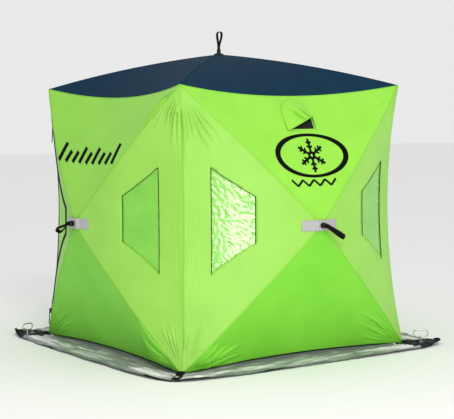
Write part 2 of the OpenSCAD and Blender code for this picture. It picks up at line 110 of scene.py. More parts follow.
def mix(a: float, b: float, f: float) -> float:
    """The value a share f of the way from a to b."""
    return a + (b - a) * f


def chance(k: float, seed: float) -> float:
    """A repeatable number from 0 to 1 for the k-th of something."""
    return (sin(k * 12.9898 + seed * 78.233) * 43758.5453) % 1.0


def stations(*parts: tuple[float, int]) -> list[float]:
    """Places along a side, closer together where the cloth is creased.

    Args:
        parts: for each stretch, where it ends and how many steps it has; the first
            pair gives the start.

    Returns:
        The places in order.
    """
    places = [parts[0][0]]
    for end, steps in parts[1:]:
        start = places[-1]
        places += [mix(start, end, k / steps) for k in range(1, steps + 1)]
    return places


# ---- Cloth shapes ----


@dataclass(frozen=True)
class Fan:
    """Creases that spread over a gore from one of its corners.

    Args:
        end: which corner, 0 or 1.
        count: creases between the pole seam and the edge.
        reach: length of the longest crease, in metres.
        height: how far a crease stands up.
        lean: where they are strongest, from 0 at the seam to 1 at the edge.
        spread: how far from there they still show.
    """

    end: int
    count: int
    reach: float
    height: float
    lean: float
    spread: float

    def relief(self, gore: "Gore", at: Vector) -> float:
        """Height of these creases.

        Args:
            gore: the gore that they lie on.
            at: the place on it.

        Returns:
            The height in metres.
        """
        corner = gore.ends[self.end]
        away = at - corner
        far = away.length
        if far > self.reach or far < 1e-5:
            return 0.0
        seam = (gore.hub - corner).normalized()
        edge = (gore.ends[1 - self.end] - corner).normalized()
        square = (edge - seam * edge.dot(seam)).normalized()
        whole = atan2(edge.dot(square), edge.dot(seam))
        share = atan2(away.dot(square), away.dot(seam)) / whole
        wobble = noise.noise(at * 5.0 + Vector((gore.seed, 0, self.end)))
        place = share * self.count + wobble * smooth(far / 0.2)
        k = int(place // 1)
        reach = self.reach * (0.5 + 0.5 * chance(k, gore.seed + self.end))
        rise = sin(pi * (place - k)) ** 1.5
        fade = far / reach * (1 - smooth((far / reach - 0.35) / 0.65)) * 2.4 * smooth((far - 0.04) / 0.12)
        weight = exp(-(((share - self.lean) / self.spread) ** 2))
        return self.height * (0.45 + 0.55 * chance(k + 9, gore.seed)) * rise * fade * weight


@dataclass
class Gore:
    """One triangular panel, stretched from its hub to an edge of the wall or roof."""

    name: str
    hub: Vector
    ends: tuple[Vector, Vector]
    out: Vector
    sag: Vector
    bow: float
    fans: tuple[Fan, ...] = ()
    ripple: float = 0.0
    seed: float = 0.0
    slack: float = 0.0016
    pucker: float = 0.0

    def calm(self, end: int, share: float) -> None:
        """Pulls the cloth flatter at one end.

        Args:
            end: which end, 0 or 1.
            share: how much of the creases' height is left.
        """
        self.fans = tuple(replace(f, height=f.height * share) if f.end == end else f for f in self.fans)

    @cached_property
    def ups(self) -> list[Vector]:
        """For both pole seams, the way that the pole bows."""
        runs = [(end - self.hub).normalized() for end in self.ends]
        return [(self.out - run * self.out.dot(run)).normalized() for run in runs]

    @cached_property
    def edge(self) -> float:
        """Length of the edge opposite the hub."""
        return (self.ends[0] - self.ends[1]).length

    @cached_property
    def run(self) -> float:
        """Distance from the hub to the middle of that edge."""
        return ((self.ends[0] + self.ends[1]) / 2 + self.sag - self.hub).length

    def seam(self, end: int, s: float) -> Vector:
        """A place on a pole seam, s from 0 at the hub to 1 at the corner."""
        return self.hub.lerp(self.ends[end], s) + self.ups[end] * (self.bow * 4 * s * (1 - s))

    def point(self, s: float, t: float) -> Vector:
        """A place on the taut gore, s out from the hub and t from seam to seam."""
        return self.seam(0, s).lerp(self.seam(1, s), t) + self.sag * (4 * t * (1 - t) * s * s)

    def normal(self, s: float, t: float) -> Vector:
        """The outward direction square to the taut gore."""
        e = 0.002
        along = self.point(s + e, t) - self.point(s - e, t)
        across = self.point(s, t + e) - self.point(s, t - e)
        n = along.cross(across).normalized()
        return n if n.dot(self.out) > 0 else -n

    def relief(self, s: float, t: float, at: Vector) -> float:
        """Height of the creases and slack, which die out at the seams.

        Args:
            s: share of the way out from the hub.
            t: share of the way from seam to seam.
            at: the place on the taut gore.

        Returns:
            The height in metres.
        """
        width = self.edge * s
        out = (1 - s) * self.run
        gate = smooth(min(t * width, (1 - t) * width, out) / 0.012)
        if not gate:
            return 0.0
        high = self.slack * noise.noise(at * 3.4 + Vector((self.seed, 2.0, 0)))
        high += sum(fan.relief(self, at) for fan in self.fans)
        if self.ripple:
            drift = noise.noise(Vector((self.seed, out * 9, at.z * 3.1)))
            wave = sin(out / 0.028 * 2 * pi + 9 * drift)
            high += self.ripple * exp(-out / 0.07) * wave * (0.4 + 1.6 * abs(drift))
        if self.pucker:
            off = abs(s - self.pucker) * self.run
            beat = sin(at.z / 0.034 * 2 * pi + 6 * noise.noise(Vector((self.seed, 4, at.z * 5))))
            high += 0.0016 * exp(-off / 0.018) * max(0.0, beat) * smooth(noise.noise(at * 6) * 2 + 0.8)
        if s < 0.16:
            high += 0.0011 * sin(s * self.run / 0.018 * 2 * pi) * smooth((0.16 - s) / 0.05)
        return gate * high

    def cloth(self, s: float, t: float, lift: float = 0.0) -> Vector:
        """A place on the creased gore, stood off by lift."""
        at = self.point(s, t)
        return at + self.normal(s, t) * (self.relief(s, t, at) + lift)


Spot = tuple[float, float]
Mesh = bmesh.types.BMesh


@dataclass(frozen=True)
class Plan:
    """The sizes that the cloth follows, in metres, in the front wall's frame."""

    base_w: float = 1.500
    top_w: float = 1.460
    eave_h: float = 1.475
    peak_h: float = 1.665
    hub_w: float = 0.955
    bow: float = 0.022
    edge_in: float = 0.053
    eave_in: float = 0.060
    eave_drop: float = 0.060
    hem_in: float = 0.020
    hem_rise: float = 0.025
    hem_z: float = 0.002
    hub_share: float = 0.0212
    window_long: float = 0.547
    window_short: float = 0.241
    window_far: float = 0.563
    window_near: float = 0.353
    window_lift: float = 0.040
    door_edge: float = 0.060
    door_near: float = 0.160
    vent_w: float = 0.190
    vent_h: float = 0.165
    vent_out: float = 0.062
    vent_hole_w: float = 0.130
    vent_hole_h: float = 0.110
    vent_below: float = 0.016
    edge_ripple: float = 0.0011

    @property
    def hub_z(self) -> float:
        """Height of the wall hubs."""
        return self.eave_h / 2

    @property
    def half(self) -> float:
        """Half the wall's middle width."""
        return (self.top_w + self.base_w) / 4

    @property
    def vent_foot(self) -> float:
        """Height of the vent hood's open rim."""
        return self.eave_h - self.eave_drop - self.vent_below - self.vent_h

    def corner(self, side: int, top: bool) -> Vector:
        """The cloth's corner at a side, -1 or 1, and at the top or foot."""
        out = (self.top_w if top else self.base_w) / 2
        return Vector((side * out, -out, self.eave_h if top else self.hem_z))

    def gore(self, name: str, seed: float) -> Gore:
        """One of a wall's four gores, or its quarter of the roof.

        Args:
            name: left, right, upper, lower or roof.
            seed: what makes its creases its own.

        Returns:
            The gore, in the front wall's frame.
        """
        (left_foot, left_top), (right_foot, right_top) = (
            [self.corner(side, top) for top in (False, True)] for side in (-1, 1)
        )
        eave = (0, self.eave_in, -self.eave_drop)
        ends, sag = {
            "left": ((left_foot, left_top), (self.edge_in, self.edge_in, 0)),
            "right": ((right_top, right_foot), (-self.edge_in, self.edge_in, 0)),
            "upper": ((left_top, right_top), eave),
            "lower": ((right_foot, left_foot), (0, self.hem_in, self.hem_rise)),
            "roof": ((right_top, left_top), eave),
        }[name]
        at_top, at_foot = (8, 0.42, 0.030, 0.62, 0.45), (8, 0.34, 0.019, 0.5, 0.5)
        creases = {
            "left": (at_foot, at_top),
            "right": (at_top, at_foot),
            "upper": ((10, 0.34, 0.024, 0.16, 0.24),) * 2,
            "lower": ((9, 0.48, 0.036, 0.42, 0.42),) * 2,
            "roof": ((6, 0.20, 0.003, 0.4, 0.5),) * 2,
        }[name]
        at_side, roof = name in ("left", "right"), name == "roof"
        return Gore(
            name,
            Vector((0, 0, self.peak_h)) if roof else Vector((0, -self.hub_w, self.hub_z)),
            ends,
            Vector((0, 0, 1)) if roof else Vector((0, -1, 0)),
            Vector(sag),
            self.bow,
            tuple(Fan(end, *crease) for end, crease in enumerate(creases)),
            self.edge_ripple if at_side else 0.0,
            seed,
            pucker=self.s_at(self.window_far) if at_side else 0.0,
        )

    def hub_place(self, wall: Wall | None) -> Matrix:
        """Where a wall's hub is, or the roof's, with +Z outwards."""
        if wall is None:
            return Matrix.Translation((0, 0, self.peak_h))
        place = Matrix.Translation((0, -self.hub_w, self.hub_z))
        return wall.turn @ (place @ Matrix.Rotation(pi / 2, 4, "X"))

    def s_at(self, x: float) -> float:
        """How far out a side gore's place at x is, at hub height."""
        return (self.half - sqrt(self.half**2 - 4 * self.edge_in * x)) / (2 * self.edge_in)

    def t_at(self, s: float, z: float, side: int) -> float:
        """How far a side gore's place at height z is from its first seam."""
        up = ((z - self.hub_z * (1 - s)) / s - self.hem_z) / (self.eave_h - self.hem_z)
        return up if side < 0 else 1 - up

    def s_up(self, z: float) -> float:
        """How far out an upper gore's middle is at height z."""
        rise = self.eave_h - self.hub_z
        return (rise - sqrt(rise * rise - 4 * self.eave_drop * (z - self.hub_z))) / (2 * self.eave_drop)

    def window(self, side: int) -> list[Spot]:
        """The window's four corners on a side gore."""
        z = self.hub_z + self.window_lift
        near, far = self.s_at(self.window_near), self.s_at(self.window_far)
        return [
            (near, self.t_at(near, z - self.window_short / 2, side)),
            (far, self.t_at(far, z - self.window_long / 2, side)),
            (far, self.t_at(far, z + self.window_long / 2, side)),
            (near, self.t_at(near, z + self.window_short / 2, side)),
        ]

    def door(self) -> list[Spot]:
        """The doorway's four corners on a left gore."""
        near = self.s_at(self.door_near)
        far = 1 - self.door_edge / (self.half - 2 * self.edge_in)

        def margin(s: float) -> float:
            """Share of the gore's width between its seam and the zip."""
            return self.door_edge * sqrt(2) / (self.eave_h * s)

        reach = (0.5 - margin(near)) * 0.9
        return [
            (near, 0.5 - reach),
            (far, margin(far)),
            (far, 1 - margin(far)),
            (near, 0.5 + reach),
        ]

    def vent(self) -> list[Spot]:
        """The vent hole's four corners on an upper gore."""
        middle = self.vent_foot + self.vent_h / 2
        low, high = (self.s_up(middle + k * self.vent_hole_h / 2) for k in (-1, 1))
        wide = self.vent_hole_w / 2 / self.top_w
        return [
            (low, 0.5 - wide / low),
            (high, 0.5 - wide / high),
            (high, 0.5 + wide / high),
            (low, 0.5 + wide / low),
        ]


PLAN = Plan()


def grown(hole: Sequence[Spot], gore: Gore, margin: float) -> list[Spot]:
    """Moves a hole's corners away from its middle.

    Args:
        hole: the corners.
        gore: the gore that the hole is in.
        margin: how far the sides move, in metres.

    Returns:
        The moved corners.
    """
    s0, t0 = (sum(p[i] for p in hole) / len(hole) for i in (0, 1))
    moved = []
    for s, t in hole:
        ds = margin / gore.run * (1 if s > s0 else -1)
        dt = margin * 1.2 / (gore.edge * s) * (1 if t > t0 else -1)
        moved.append((s + ds, t + dt))
    return moved


# ---- Meshes ----


def flat_grid(bm: Mesh, across: Sequence[float], along: Sequence[float]) -> list:
    """Adds a flat grid whose lines stand at given places.

    Args:
        bm: the mesh that it goes into.
        across: x of the lines one way.
        along: y of the lines the other way.

    Returns:
        The new vertices.
    """
    n, m = len(across) - 1, len(along) - 1
    made = bmesh.ops.create_grid(bm, x_segments=n, y_segments=m, size=0.5)["verts"]
    for v in made:
        i, j = round((v.co.x + 0.5) * n), round((v.co.y + 0.5) * m)
        v.co = (across[i], along[j], 0)
    return made


def write_uv(bm: Mesh, place: Callable[[Vector], Spot]) -> None:
    """Writes the piece's own UV map, in metres.

    Args:
        bm: the mesh.
        place: gives a vertex's place on the map.
    """
    layer = bm.loops.layers.uv.verify()
    for face in bm.faces:
        for loop in face.loops:
            loop[layer].uv = place(loop.vert.co)


def cut_lines(bm: Mesh, hole: Sequence[Spot]) -> Callable[[Vector], bool]:
    """Cuts a flat mesh along the sides of a hole.

    Args:
        bm: the flat mesh.
        hole: the hole's corners, in order.

    Returns:
        A test of whether a place is inside the hole.
    """
    corners = [Vector((s, t, 0)) for s, t in hole]
    middle = sum(corners, Vector()) / len(corners)
    sides = []
    for a, b in zip(corners, corners[1:] + corners[:1]):
        away = (b - a).cross(Vector((0, 0, 1))).normalized()
        sides.append((a, away if away.dot(a - middle) > 0 else -away))
    low = [min(c[i] for c in corners) - 0.02 for i in (0, 1)]
    high = [max(c[i] for c in corners) + 0.02 for i in (0, 1)]
    for a, away in sides:
        near = [
            f
            for f in bm.faces
            if all(low[i] < f.calc_center_median()[i] < high[i] for i in (0, 1))
        ]
        geom = set(near) | {e for f in near for e in f.edges} | {v for f in near for v in f.verts}
        bmesh.ops.bisect_plane(bm, geom=list(geom), dist=1e-6, plane_co=a, plane_no=away)
    return lambda at: all((at - a).dot(away) < 1e-7 for a, away in sides)


def drop_faces(bm: Mesh, unwanted: Callable[[Vector], bool]) -> None:
    """Deletes the faces whose middles are unwanted."""
    faces = [f for f in bm.faces if unwanted(f.calc_center_median())]
    bmesh.ops.delete(bm, geom=faces, context="FACES")


def face_out(bm: Mesh, out: Vector) -> None:
    """Turns an open sheet's faces over where they point against out."""
    bm.normal_update()
    if sum((f.normal * f.calc_area() for f in bm.faces), Vector()).dot(out) < 0:
        bmesh.ops.reverse_faces(bm, faces=bm.faces)


def lay(bm: Mesh, place: Callable[[float, float], Vector], out: Vector, flat: bool = False) -> None:
    """Bends a flat mesh to its shape, with its UV map and its faces outwards.

    Args:
        bm: the flat mesh.
        place: gives the final place of each of its points.
        out: the outward direction.
        flat: whether the sheet lies level, so that its map is seen from above.
    """
    for v in bm.verts:
        v.co = place(v.co.x, v.co.y)
    write_uv(bm, lambda p: (p.x, p.y if flat else p.z))
    face_out(bm, out)


def on_eave(gore: Gore, x: float, z: float, lift: float = 0.0) -> Vector:
    """The place at x and height z on an upper gore, stood off by lift."""
    s = PLAN.s_up(z)
    return gore.cloth(s, 0.5 + x / (PLAN.top_w * s), lift)


def flat_strip(width: float, thick: float) -> list[Spot]:
    """The section of a strap, with rounded edges, standing on its underside."""
    w, r = width / 2, thick / 2
    top = [(w, r), (w - r, thick), (0, thick * 1.12), (r - w, thick), (-w, r)]
    return [(w - r, 0), *top, (r - w, 0), (0, 0)]


def round_bar(width: float, steps: int = 8) -> list[Spot]:
    """The section of a round bar about its middle."""
    turns = [2 * pi * k / steps for k in range(steps)]
    return [(width / 2 * cos(turn), width / 2 * sin(turn)) for turn in turns]


def sweep(
    bm: Mesh,
    path: Sequence[Vector],
    ups: Sequence[Vector] | Vector,
    section: Sequence[Spot],
    closed: bool = False,
) -> None:
    """Carries a section along a path.

    Args:
        bm: the mesh that it goes into.
        path: the points that it follows.
        ups: the section's upward direction at each point, or one for all.
        section: its points, across and up.
        closed: whether the path joins its own start.
    """
    count, around = len(path), len(section)
    n = count if closed else count - 1
    steps = [0.0]
    for a, b in zip(path, list(path[1:]) + [path[0]]):
        steps.append(steps[-1] + (b - a).length)
    made = flat_grid(bm, [float(i) for i in range(n + 1)], [float(j) for j in range(around + 1)])
    layer = bm.loops.layers.uv.verify()
    faces = {f for v in made for f in v.link_faces}
    girth = sum((Vector(a) - Vector(b)).length for a, b in zip(section, list(section[1:]) + [section[0]]))
    for face in faces:
        for loop in face.loops:
            i, j = loop.vert.co.x, loop.vert.co.y
            loop[layer].uv = (steps[round(i)], j / around * girth)
    for v in made:
        i, j = round(v.co.x) % count, round(v.co.y) % around
        before = path[i - 1] if (i or closed) else path[0]
        after = path[(i + 1) % count] if (i < count - 1 or closed) else path[i]
        tangent = (after - before).normalized()
        up = ups if isinstance(ups, Vector) else ups[i]
        side = tangent.cross(up).normalized()
        up = side.cross(tangent).normalized()
        v.co = path[i] + side * section[j][0] + up * section[j][1]
    bmesh.ops.remove_doubles(bm, verts=made, dist=1e-6)
    if not closed:
        edges = [e for e in bm.edges if e.is_boundary]
        bmesh.ops.holes_fill(bm, edges=edges, sides=around)


class Workshop:
    """Turns finished meshes into pieces of the scene."""

    @staticmethod
    def piece(
        name: str,
        bm: Mesh,
        finish: "Finish",
        slot: Slot | None,
        turn: Matrix | None = None,
        replaces: Sequence[str] = (),
        closed: bool = True,
        flat: bool = False,
    ) -> bpy.types.Object:
        """Makes one piece, riding on the body.

        Args:
            name: the piece's name.
            bm: its mesh, which is used up.
            finish: its finish.
            slot: the record's material slot; not used.
            turn: a turn from the front wall's frame.
            replaces: CAD nodes that it stands for.
            closed: whether the shell is closed, so that its normals can be worked out.
            flat: whether its faces are shaded flat.

        Returns:
            The new object.
        """
        if turn is not None:
            bmesh.ops.transform(bm, matrix=turn, verts=bm.verts)
        if closed:
            bmesh.ops.recalc_face_normals(bm, faces=bm.faces)
        for face in bm.faces:
            face.smooth = not flat
        mesh = bpy.data.meshes.new(name)
        bm.to_mesh(mesh)
        bm.free()
        made = bpy.data.objects.new(name, mesh)
        bpy.context.scene.collection.objects.link(made)
        mesh.materials.append(finish.material())
        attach(made, BODY)
        if replaces:
            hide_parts(*replaces)
        LOG.info("%s: %d faces", name, len(mesh.polygons))
        return made

    @staticmethod
    def thicken(piece: bpy.types.Object, thick: float) -> None:
        """Gives a sheet its thickness, behind its face."""
        wall = piece.modifiers.new("thickness", "SOLIDIFY")
        wall.thickness, wall.offset = thick, -1.0

    @staticmethod
    def soften(piece: bpy.types.Object, width: float) -> None:
        """Rounds a piece's sharp edges."""
        edge = piece.modifiers.new("edges", "BEVEL")
        edge.width, edge.segments, edge.limit_method = width, 2, "ANGLE"


# ---- Finishes ----


Socket = bpy.types.NodeSocket


class Nodes:
    """Adds shader nodes to one material.

    Args:
        tree: the material's nodes.
    """

    def __init__(self, tree: bpy.types.NodeTree) -> None:
        self.tree = tree
        self.shader = tree.nodes["Principled BSDF"]

    def add(self, kind: str, inputs: dict | None = None, **settings: object) -> bpy.types.Node:
        """Adds a node.

        Args:
            kind: its type, without the prefix.
            inputs: a value, or a socket to link, for each input by name or number.
            settings: the node's own settings.

        Returns:
            The new node.
        """
        made = self.tree.nodes.new("ShaderNode" + kind)
        for key, value in settings.items():
            setattr(made, key, value)
        for key, value in (inputs or {}).items():
            if isinstance(value, Socket):
                self.tree.links.new(value, made.inputs[key])
            else:
                made.inputs[key].default_value = value
        return made

    def coords(self, kind: str = "UV") -> Socket:
        """The surface's own coordinates, in metres."""
        return self.add("TexCoord").outputs[kind]

    def noise(self, where: Socket, size_mm: float, detail: float, distortion: float = 0.0) -> Socket:
        """A cloudy pattern from 0 to 1, with features of about size_mm."""
        inputs = {"Vector": where, "Scale": 1000 / size_mm, "Detail": detail, "Distortion": distortion}
        return self.add("TexNoise", inputs).outputs["Fac"]

    def stripes(self, where: Socket, pitch_mm: float, way: str, distortion: float = 0.0) -> Socket:
        """Soft stripes from 0 to 1 that repeat every pitch_mm along X or Y."""
        inputs = {"Vector": where, "Scale": pi / 10 / (pitch_mm / 1000), "Distortion": distortion}
        return self.add("TexWave", inputs, bands_direction=way).outputs["Fac"]

    def turned(self, where: Socket, turn: float = 0.0, scale: tuple = (1.0, 1.0, 1.0)) -> Socket:
        """Coordinates turned by some degrees and stretched."""
        inputs = {"Vector": where, "Rotation": (0, 0, radians(turn)), "Scale": scale}
        return self.add("Mapping", inputs).outputs[0]

    def ramp(self, value: Socket, low: float, high: float, start: float = 0.0, end: float = 1.0) -> Socket:
        """Goes from start to end while the value goes from low to high."""
        return self.add("MapRange", {0: value, 1: low, 2: high, 3: start, 4: end}).outputs[0]

    def blend(self, share: Socket, first: str | Socket, last: str) -> Socket:
        """Goes from the first colour to the last one."""
        first = linear(first) if isinstance(first, str) else first
        return self.add("Mix", {0: share, 6: first, 7: linear(last)}, data_type="RGBA").outputs[2]

    def math(self, operation: str, *values: Socket | float) -> Socket:
        """Works out a sum."""
        return self.add("Math", dict(enumerate(values)), operation=operation).outputs[0]

    def drive(self, name: str, value: Socket) -> None:
        """Links a pattern to one of the shader's inputs."""
        self.tree.links.new(value, self.shader.inputs[name])

    def emboss(self, height: Socket, deep_mm: float, strength: float = 1.0) -> None:
        """Raises the surface.

        Args:
            height: the pattern, from 0 to 1.
            deep_mm: how deep it is.
            strength: how strongly it shows.
        """
        inputs = {"Height": height, "Distance": deep_mm / 1000, "Strength": strength}
        self.drive("Normal", self.add("Bump", inputs).outputs["Normal"])


@dataclass(frozen=True)
class Finish:
    """A material and how its surface was made."""

    name: str
    colour: str
    roughness: float = 0.5
    specular: float = 0.5
    metallic: float = 0.0
    coat: float = 0.0
    sheen: float = 0.0

    def material(self) -> bpy.types.Material:
        """The finish's material, made when it is first asked for."""
        return bpy.data.materials.get(self.name) or self._make()

    def _make(self) -> bpy.types.Material:
        """Makes the material with its constant values, then dresses it."""
        made = bpy.data.materials.new(self.name)
        made.use_nodes = True
        nodes = Nodes(made.node_tree)
        for socket, value in {
            "Base Color": linear(self.colour),
            "Roughness": self.roughness,
            "Specular IOR Level": self.specular,
            "Metallic": self.metallic,
            "Coat Weight": self.coat,
            "Sheen Weight": self.sheen,
        }.items():
            nodes.shader.inputs[socket].default_value = value
        self.dress(nodes)
        return made

    def dress(self, nodes: Nodes) -> None:
        """Adds the finish's patterns."""

    def vary(self, nodes: Nodes, where: Socket, size_mm: float, other: str, rough: float) -> None:
        """Lets the colour and gloss drift over the surface.

        Args:
            nodes: the material's nodes.
            where: the coordinates.
            size_mm: size of the patches.
            other: the colour that it drifts to.
            rough: how much rougher it gets there.
        """
        share = nodes.ramp(nodes.noise(where, size_mm, 3.0), 0.35, 0.7)
        nodes.drive("Base Color", nodes.blend(share, self.colour, other))
        nodes.drive("Roughness", nodes.ramp(share, 0.0, 1.0, self.roughness, self.roughness + rough))


@dataclass(frozen=True)
class WovenPolyester(Finish):
    """Polyester oxford, woven, dyed and coated on the back.

    It gives the eye a soft even sheen, a fine square weave and slow drifts of tone
    where the cloth is pulled tighter.
    """

    drift: str = "FFFFFF"
    thread_mm: float = 2.4  # the real 0.5 mm threads are too fine to show, so they are drawn coarser
    crease_mm: float = 60.0

    def dress(self, nodes: Nodes) -> None:
        """Adds the weave, small creases and drifts of tone."""
        uv = nodes.coords()
        self.vary(nodes, uv, 260, self.drift, 0.08)
        weave = [nodes.stripes(uv, self.thread_mm, way) for way in ("X", "Y")]
        crease = nodes.noise(uv, self.crease_mm, 4.0, 1.2)
        both = nodes.math("MULTIPLY_ADD", nodes.math("MULTIPLY", *weave), 0.06, crease)
        nodes.emboss(both, 2.2, 0.6)


@dataclass(frozen=True)
class ClearFilm(Finish):
    """Soft PVC window film, calendered and packed folded.

    It gives the eye a glossy crinkled skin that catches the light in short streaks
    over an almost opaque green, which is painted light: the sunlit green inside seen
    through the clear film.
    """

    glint: str = "7ACC2A"
    clear: float = 0.94

    def dress(self, nodes: Nodes) -> None:
        """Adds the crinkles and the see-through."""
        uv = nodes.coords()
        self.vary(nodes, uv, 110, self.glint, 0.05)
        slant = nodes.turned(uv, -50, (1.0, 0.24, 1.0))
        nodes.emboss(nodes.noise(slant, 6, 4.0, 0.6), 1.8)
        nodes.shader.inputs["Coat Roughness"].default_value = 0.10
        nodes.shader.inputs["Alpha"].default_value = self.clear


@dataclass(frozen=True)
class CoatedTarpaulin(Finish):
    """Woven polyethylene tarpaulin with a shiny laminated face.

    It gives the eye a grey sheet with bright streaks of painted highlight, painted shade
    next to the wall, and a dull, dark outer edge that is partly its own dark hem and partly
    painted shade and painted green reflection.
    """

    inner: str = "5C6062"
    edge: str = "1C2A28"
    streak: str = "F0EEF1"

    def dress(self, nodes: Nodes) -> None:
        """Adds the painted highlight streaks, the painted shade by the wall, the dark edge and the crumple.
        """
        uv = nodes.coords()
        long = nodes.turned(uv, scale=(0.09, 1.0, 1.0))
        cloud = nodes.noise(long, 40, 2.5, 0.4)
        out = nodes.add("SeparateXYZ", {0: uv}).outputs[1]
        # Painted shade: the skirt is darker next to the wall, standing in for the wall's shadow on it.
        near = nodes.ramp(out, 0.02, 0.07)
        # Painted highlight: near-white streaks along the skirt stand in for the sheen of its laminated
        # face.
        shine = nodes.math("MULTIPLY", nodes.ramp(cloud, 0.44, 0.62), near)
        tint = nodes.blend(shine, nodes.blend(near, self.inner, self.colour), self.streak)
        # The dark greenish outer edge is partly the skirt's own dark hem and partly painted shade and
        # painted green reflection of the wall.
        rim = nodes.ramp(nodes.math("MULTIPLY_ADD", cloud, 0.14, out), 0.225, 0.285)
        nodes.drive("Base Color", nodes.blend(rim, tint, self.edge))
        nodes.drive("Specular IOR Level", nodes.ramp(rim, 0.0, 1.0, self.specular, 0.03))
        nodes.emboss(nodes.noise(long, 18, 5.0, 0.8), 4.5, 0.7)


@dataclass(frozen=True)
class Ribbed(Finish):
    """Nylon or polypropylene yarn woven into tape.

    It gives the eye a matt black band with fine ribs across it.
    """

    rib_mm: float = 2.6  # the real 1.2 mm ribs are drawn coarser so that they show
    worn: str = "2A2C2E"

    def dress(self, nodes: Nodes) -> None:
        """Adds the ribs and a little wear."""
        uv = nodes.coords()
        self.vary(nodes, uv, 18, self.worn, 0.1)
        nodes.emboss(nodes.stripes(uv, self.rib_mm, "X", 0.6), 0.7)


@dataclass(frozen=True)
class Moulded(Finish):
    """Nylon, glass or steel parts, moulded, pultruded or drawn.

    It gives the eye an even surface with a fine grain and rubbed, shinier places.
    """

    grain_mm: float = 3.0
    deep_mm: float = 0.25
    worn: str = "3A3C3E"

    def dress(self, nodes: Nodes) -> None:
        """Adds the grain and the rubbed places."""
        at = nodes.coords("Object")
        self.vary(nodes, at, 14, self.worn, 0.12)
        nodes.emboss(nodes.noise(at, self.grain_mm, 4.0), self.deep_mm, 0.7)


@dataclass(frozen=True)
class PrismTape(Finish):
    """Retroreflective PVC tape, embossed with small prisms.

    It gives the eye a pale grey gloss with a lattice of lozenges.
    """

    lattice: str = "8F9092"
    prism_mm: float = 7.0

    def dress(self, nodes: Nodes) -> None:
        """Adds the lattice of prisms."""
        slant = nodes.turned(nodes.coords(), 45)
        cell = nodes.math("MULTIPLY", *[nodes.stripes(slant, self.prism_mm, way) for way in ("X", "Y")])
        nodes.drive("Base Color", nodes.blend(nodes.ramp(cell, 0.0, 0.12), self.lattice, self.colour))
        nodes.emboss(cell, 0.5)


LIME = WovenPolyester("Woven_Polyester_Lime", "86CC3A", 0.46, 0.32, sheen=0.05, drift="8FD443")
# A whiter copy of the lime cloth for the side gores: painted sheen and light that the sun gives them.
LIME_SIDE_PAINTED_SHEEN = WovenPolyester("Woven_Polyester_Lime_Across", "8AC64A", 0.44, 0.34, sheen=0.05, drift="93CE53")
# A deeper copy of the lime cloth for the lower gores: painted shade, as they face down and away from the
# light.
LIME_LOW_PAINTED_SHADE = WovenPolyester("Woven_Polyester_Lime_Deep", "79CD36", 0.5, 0.3, sheen=0.04, drift="6FC52D")
NAVY = WovenPolyester("Woven_Polyester_Navy", "0B2C43", 0.7, 0.05, drift="103248", crease_mm=90.0)
PIPING = WovenPolyester("Folded_Seam_Binding_Lime", "86CC40", 0.5, 0.35, drift="7CC436")
# The clear film is coloured an almost opaque green: painted light for the sunlit green inside seen through
# it.
FILM = ClearFilm("Calendered_PVC_Film", "6CC21C", 0.23, 0.8, coat=1.0)
BINDING = Ribbed("Window_Binding_Tape", "223F12", 0.65, 0.15, worn="3C6C20")
TARP = CoatedTarpaulin("Laminated_Tarpaulin", "8C8B91", 0.36, 0.5)
WEB = Ribbed("Woven_Polypropylene_Webbing", "050506", 0.7, 0.12, worn="0D0E10")
ZIP = Ribbed("Nylon_Coil_Zip", "050606", 0.5, 0.2, rib_mm=3.2, worn="0E1010")
TAPE = PrismTape("Embossed_Reflective_Tape", "B2B0B3", 0.4, 0.5, coat=0.15)
HUB = Moulded("Moulded_Nylon_Black", "08090A", 0.42, 0.3, grain_mm=2.0, worn="16181A")
ROD = Moulded("Pultruded_Fibreglass", "17191B", 0.34, 0.5, grain_mm=6.0, worn="2B2E30")
STEEL = Moulded("Zinc_Plated_Steel_Wire", "C9CCCE", 0.28, 0.5, 1.0, deep_mm=0.08, worn="A9ADB0")
INK = Moulded("Screen_Printed_Ink_Black", "030403", 0.7, 0.08, grain_mm=5.0, deep_mm=0.1, worn="0A0C0A")
# Black mesh, also spread under the vent hoods as painted shade.
NET_AND_HOOD_SHADE = Ribbed("Knitted_Mosquito_Net", "050605", 0.8, 0.2, rib_mm=3.0)


# ---- Sub-assemblies ----


